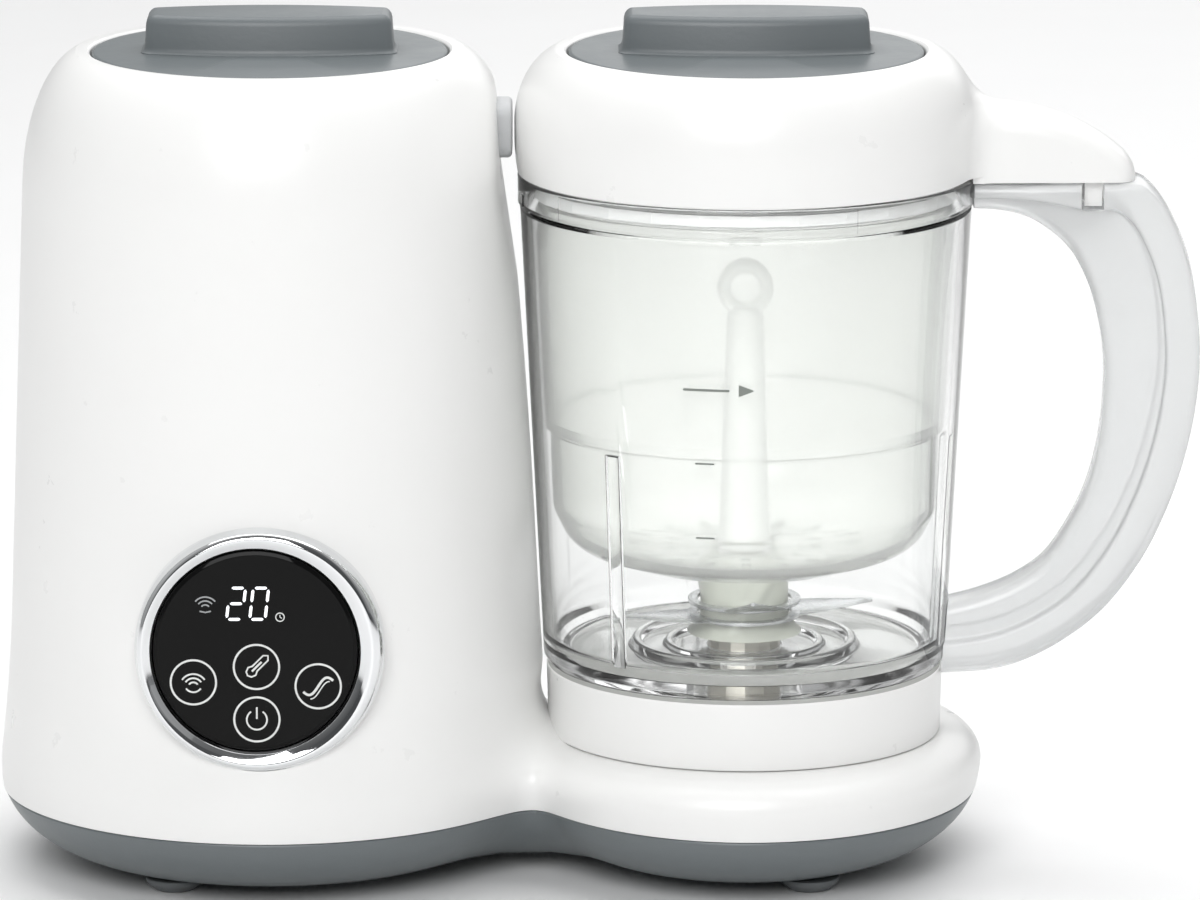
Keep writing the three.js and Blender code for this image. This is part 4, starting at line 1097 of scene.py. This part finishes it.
# ---- Basket ----
def build_basket():
    b = BASKET_Z
    shoulder = 112.2  # where it narrows below its upper wall
    wide, upper = wall_in(shoulder), wall_in(160)
    profile = [
        (7.8, b, 0.5), (30, b, 5), (44.6, b + 5.0, 12), (49.0, b + 15, 8), (wide - 2.0, shoulder, 0.5),
        (wide - 0.8, shoulder + 0.5, 0.4), (upper - 0.9, 160), (52.8, 166.6, 1.0), (52.8, 170.6, 0.6),
        (51.0, 170.6, 0.6), (51.0, 166.6), (upper - 2.6, 160), (wide - 2.5, shoulder + 3, 1.5),
        (wide - 3.8, shoulder - 1, 1.5), (47.2, b + 15.5, 7), (43.2, b + 6.8, 11), (29.6, b + 1.9, 5),
        (7.8, b + 1.9, 0.5),
    ]
    shape = lathe(profile, JX, sides=180, steps=8)
    piece = make("steam_basket", shape, FROSTED, "basket_body", ("basket",))
    piece.visible_shadow = False
    # Two rings of slots in its floor: inner and outer end, how many, and the first one's turn in steps.
    for r0, r1, count, first in ((14, 20, 12, 0.0), (24, 31, 18, 0.5)):
        slot = rounded([(r0, -1.1, 1.0), (r1, -1.1, 1.0), (r1, 1.1, 1.0), (r0, 1.1, 1.0)], True, 4)
        for i in range(count):
            cut(piece, moved(prism(slot, b - 2, b + 6), JX, turn=2 * math.pi * (i + first) / count))
    soften(piece, 32)
    post = [(0, b + 2.2), (7.2, b + 2.2, 0.6), (6.4, b + 7, 2), (4.6, 139, 1), (3.6, 141, 1), (0, 141)]
    shape = lathe(post, JX, sides=64)
    stem = make("lifting_post", shape, MILKY, "basket_body", ("basket_post",))
    weld(stem, lifting_loop())
    soften(stem, 35)


def lifting_loop():
    """The upright ring on top of the post."""
    ring, tube_r = 5.4, 1.7
    rings = []
    for a in turns(48):
        cx, cz = ring * cos(a), ring * sin(a)
        tube = []
        for b in turns(16):
            out = tube_r * cos(b)
            tube.append((JX + cx + out * cos(a), 2.0 * sin(b), 145.4 + cz + out * sin(a)))
        rings.append(tube)
    return loft(rings, closed=True)


# ---- Lid ----
LID_BOTTOM = 176.8
ARM_END = 98.2  # from the jug's axis
ARM_UNDER = 175.1


def lid_dome(x, y, z):
    """The lid's round body, drawn in a little at its rim."""
    rise = np.clip((z - 189) / 19, 0, 0.995)
    radius = LID_R - 0.9 * ((np.clip(186 - z, 0, None)) / 10) ** 2 - 13.4 * (1 - np.sqrt(1 - rise**2))
    return np.hypot(x, y) - radius


def lid_arm(x, y, z):
    """The arm that reaches over the handle."""
    t = np.clip((x - 50) / (ARM_END - 50), 0, 1)
    crest = 194.8 - 15.8 * t**3
    half = 11.0 - 1.2 * t
    lift = crest - z - 0.028 * y * y  # the arm's top is gently crowned
    up = -lift * 0.92
    side = np.abs(y) - half
    tip = x + 0.012 * y * y + 0.10 * np.clip(ARM_UNDER + 3 - z, 0, None) - ARM_END
    r = 3.6  # rounding of its edges
    a, b, c = up + r, side + r, tip + r
    out = np.sqrt(np.maximum(a, 0) ** 2 + np.maximum(b, 0) ** 2 + np.maximum(c, 0) ** 2)
    return np.minimum(np.maximum(np.maximum(a, b), c), 0) + out - r


def lid(x, y, z):
    x = x - JX
    return smooth_min(lid_dome(x, y, z), np.maximum(lid_arm(x, y, z), 40 - x), 7)


def build_lid():
    low, high = (JX - 64, -64, 168), (JX + 102, 64, TOP + 3)
    shape = close_bottom(skin(lid, low, high, 1.15))
    piece = make("white_lid", shape, WHITE, "lid_body", ("lid",))
    cut(
        piece,
        block(JX - 80, JX + 110, -80, 80, TOP, TOP + 20),
        block(JX - 80, JX + 110, -80, 80, 150, ARM_UNDER),
        rod(BAND_R + 0.4, 150, LID_BOTTOM, JX, sides=180),
    )
    for side in (1, -1):
        y0, y1 = sorted((side * 11.6, side * 80))
        cut(piece, block(JX - 80, JX + 110, y0, y1, 150, LID_BOTTOM))
    cut(piece, block(JX - 80, JX + 40, -12, 12, 150, LID_BOTTOM))
    inside = [
        (0, 150), (55.7, 150), (55.6, 184), (55.2, 190), (51.5, 199), (49, LEDGE - 2.4, 1),
        (40, LEDGE - 2.4),
    ]
    cut(piece, lathe(inside + CAP_RECESS, JX, sides=160))
    weld(piece, arc_block(85.2, 89.6, 7.2, 168.7, ARM_UNDER + 1))  # the hook under the arm
    cut(piece, along_x(rod(2.8, -70, -45), JX, STEAM_Z))
    soften(piece, 28)


def arc_block(r0, r1, half, z0, z1):
    """A block that follows a circle about the jug's axis."""
    a = math.asin(half / r1)
    angles = np.linspace(-a, a, 9)
    ring = [(JX + r1 * cos(t), r1 * sin(t)) for t in angles]
    ring += [(JX + r0 * cos(t), r0 * sin(t)) for t in angles[::-1]]
    return prism(ring, z0, z1)


def build_lid_inner():
    profile = [
        (51.4, 171.2, 0.4), (53.2, 171.2, 0.3), (53.2, 171.6), (52.4, 171.6), (52.4, 175.2), (53.2, 175.2),
        (53.2, 181.4), (55.3, 182.2, 0.4), (55.3, 183.8), (39.6, 183.8), (39.6, 200.9, 0.4),
        (38.2, 200.9, 0.4), (38.2, 182, 0.6), (51.4, 180.6, 0.8),
    ]
    shape = lathe(profile, JX, sides=160)
    piece = make("lid_lining", shape, WHITE, "lid_body", ("lid_inner",))
    for degrees in (-20, 0, 20):
        a = math.pi + radians(degrees)
        x, y = JX + 46 * cos(a), 46 * sin(a)
        cut(piece, rod(2, 178, 188, x, y, 20))
    soften(piece, 32)


def build_cap_insides(prefix, x):
    plug = [
        (0, LEDGE - 2), (31.6, LEDGE - 2, 0.6), (31.6, 189, 0.4), (34, 189, 0.4), (34, 195.6), (33, 195.6),
        (33, 199.4), (34, 199.4), (36, 200.5, 0.5), (36, LEDGE), (0, LEDGE),
    ]
    plug, cap = lathe(plug, x, sides=128), f"{prefix}_cap"
    make(f"{cap}_stopper", plug, MILKY, f"{cap}_body", (f"{cap}_plug",))
    lips = [
        (33.4, 196), (35.6, 196, 0.3), (37.8, 196.6, 0.4), (35.8, 197.5, 0.3), (37.8, 198.3, 0.4),
        (35.6, 199, 0.3), (33.4, 199),
    ]
    make(f"{cap}_gasket", lathe(lips, x, sides=128), SEAL, f"{cap}_ring", (f"{cap}_seal",))


# ---- Looks of the carried-over frame parts ----
CARRIED = {
    ZINC: ["heater", "motor_plate", "motor_can", "spindle_housing"]
    + [f"base_screw_{i}" for i in (1, 2, 3, 4)]
    + [f"motor_screw_{i}" for i in (1, 2, 3)],
    STEEL: ["water_tank", "motor_rotor", "drive_shaft", "blade_shaft"],
    GREY: ["motor_pulley", "driven_pulley", "drive_coupler", "blade_socket"],
    RUBBER: ["cord_gland", "drive_belt"],
    SEAL: ["steam_pipe", "lid_seal"],
    BOARD: ["control_board", "power_board"],
    BRASS: [
        "motor_bearing_lower", "motor_bearing_upper", "spindle_bush_lower", "spindle_bush_upper",
        "blade_bearing",
    ],
}


def dress_frame():
    for look, names in CARRIED.items():
        for name in names:
            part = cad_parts[name]
            part.data.materials.clear()
            part.data.materials.append(look)


def build_floor():
    look = moulded("floor_paint", (0.90, 0.90, 0.90), 0.55, peel=0.2, peel_scale=120, drift=0.006)
    floor_mesh = bpy.data.meshes.new("floor")
    reach = 9.0  # metres
    corners = [(-reach, -reach, 0), (reach, -reach, 0), (reach, reach, 0), (-reach, reach, 0)]
    floor_mesh.from_pydata(corners, [], [[0, 1, 2, 3]])
    floor_mesh.materials.append(look)
    add_object("floor", floor_mesh)


camera()
studio()
build_floor()
dress_frame()
build_housing()
build_tray()
build_feet()
build_cap("tank", TX)
build_cap("lid", JX)
build_panel()
build_display()
build_outlet()
build_jug()
build_level_marks()
build_collar()
build_handle()
build_blades()
build_basket()
build_lid()
build_lid_inner()
build_cap_insides("tank", TX)
build_cap_insides("lid", JX)
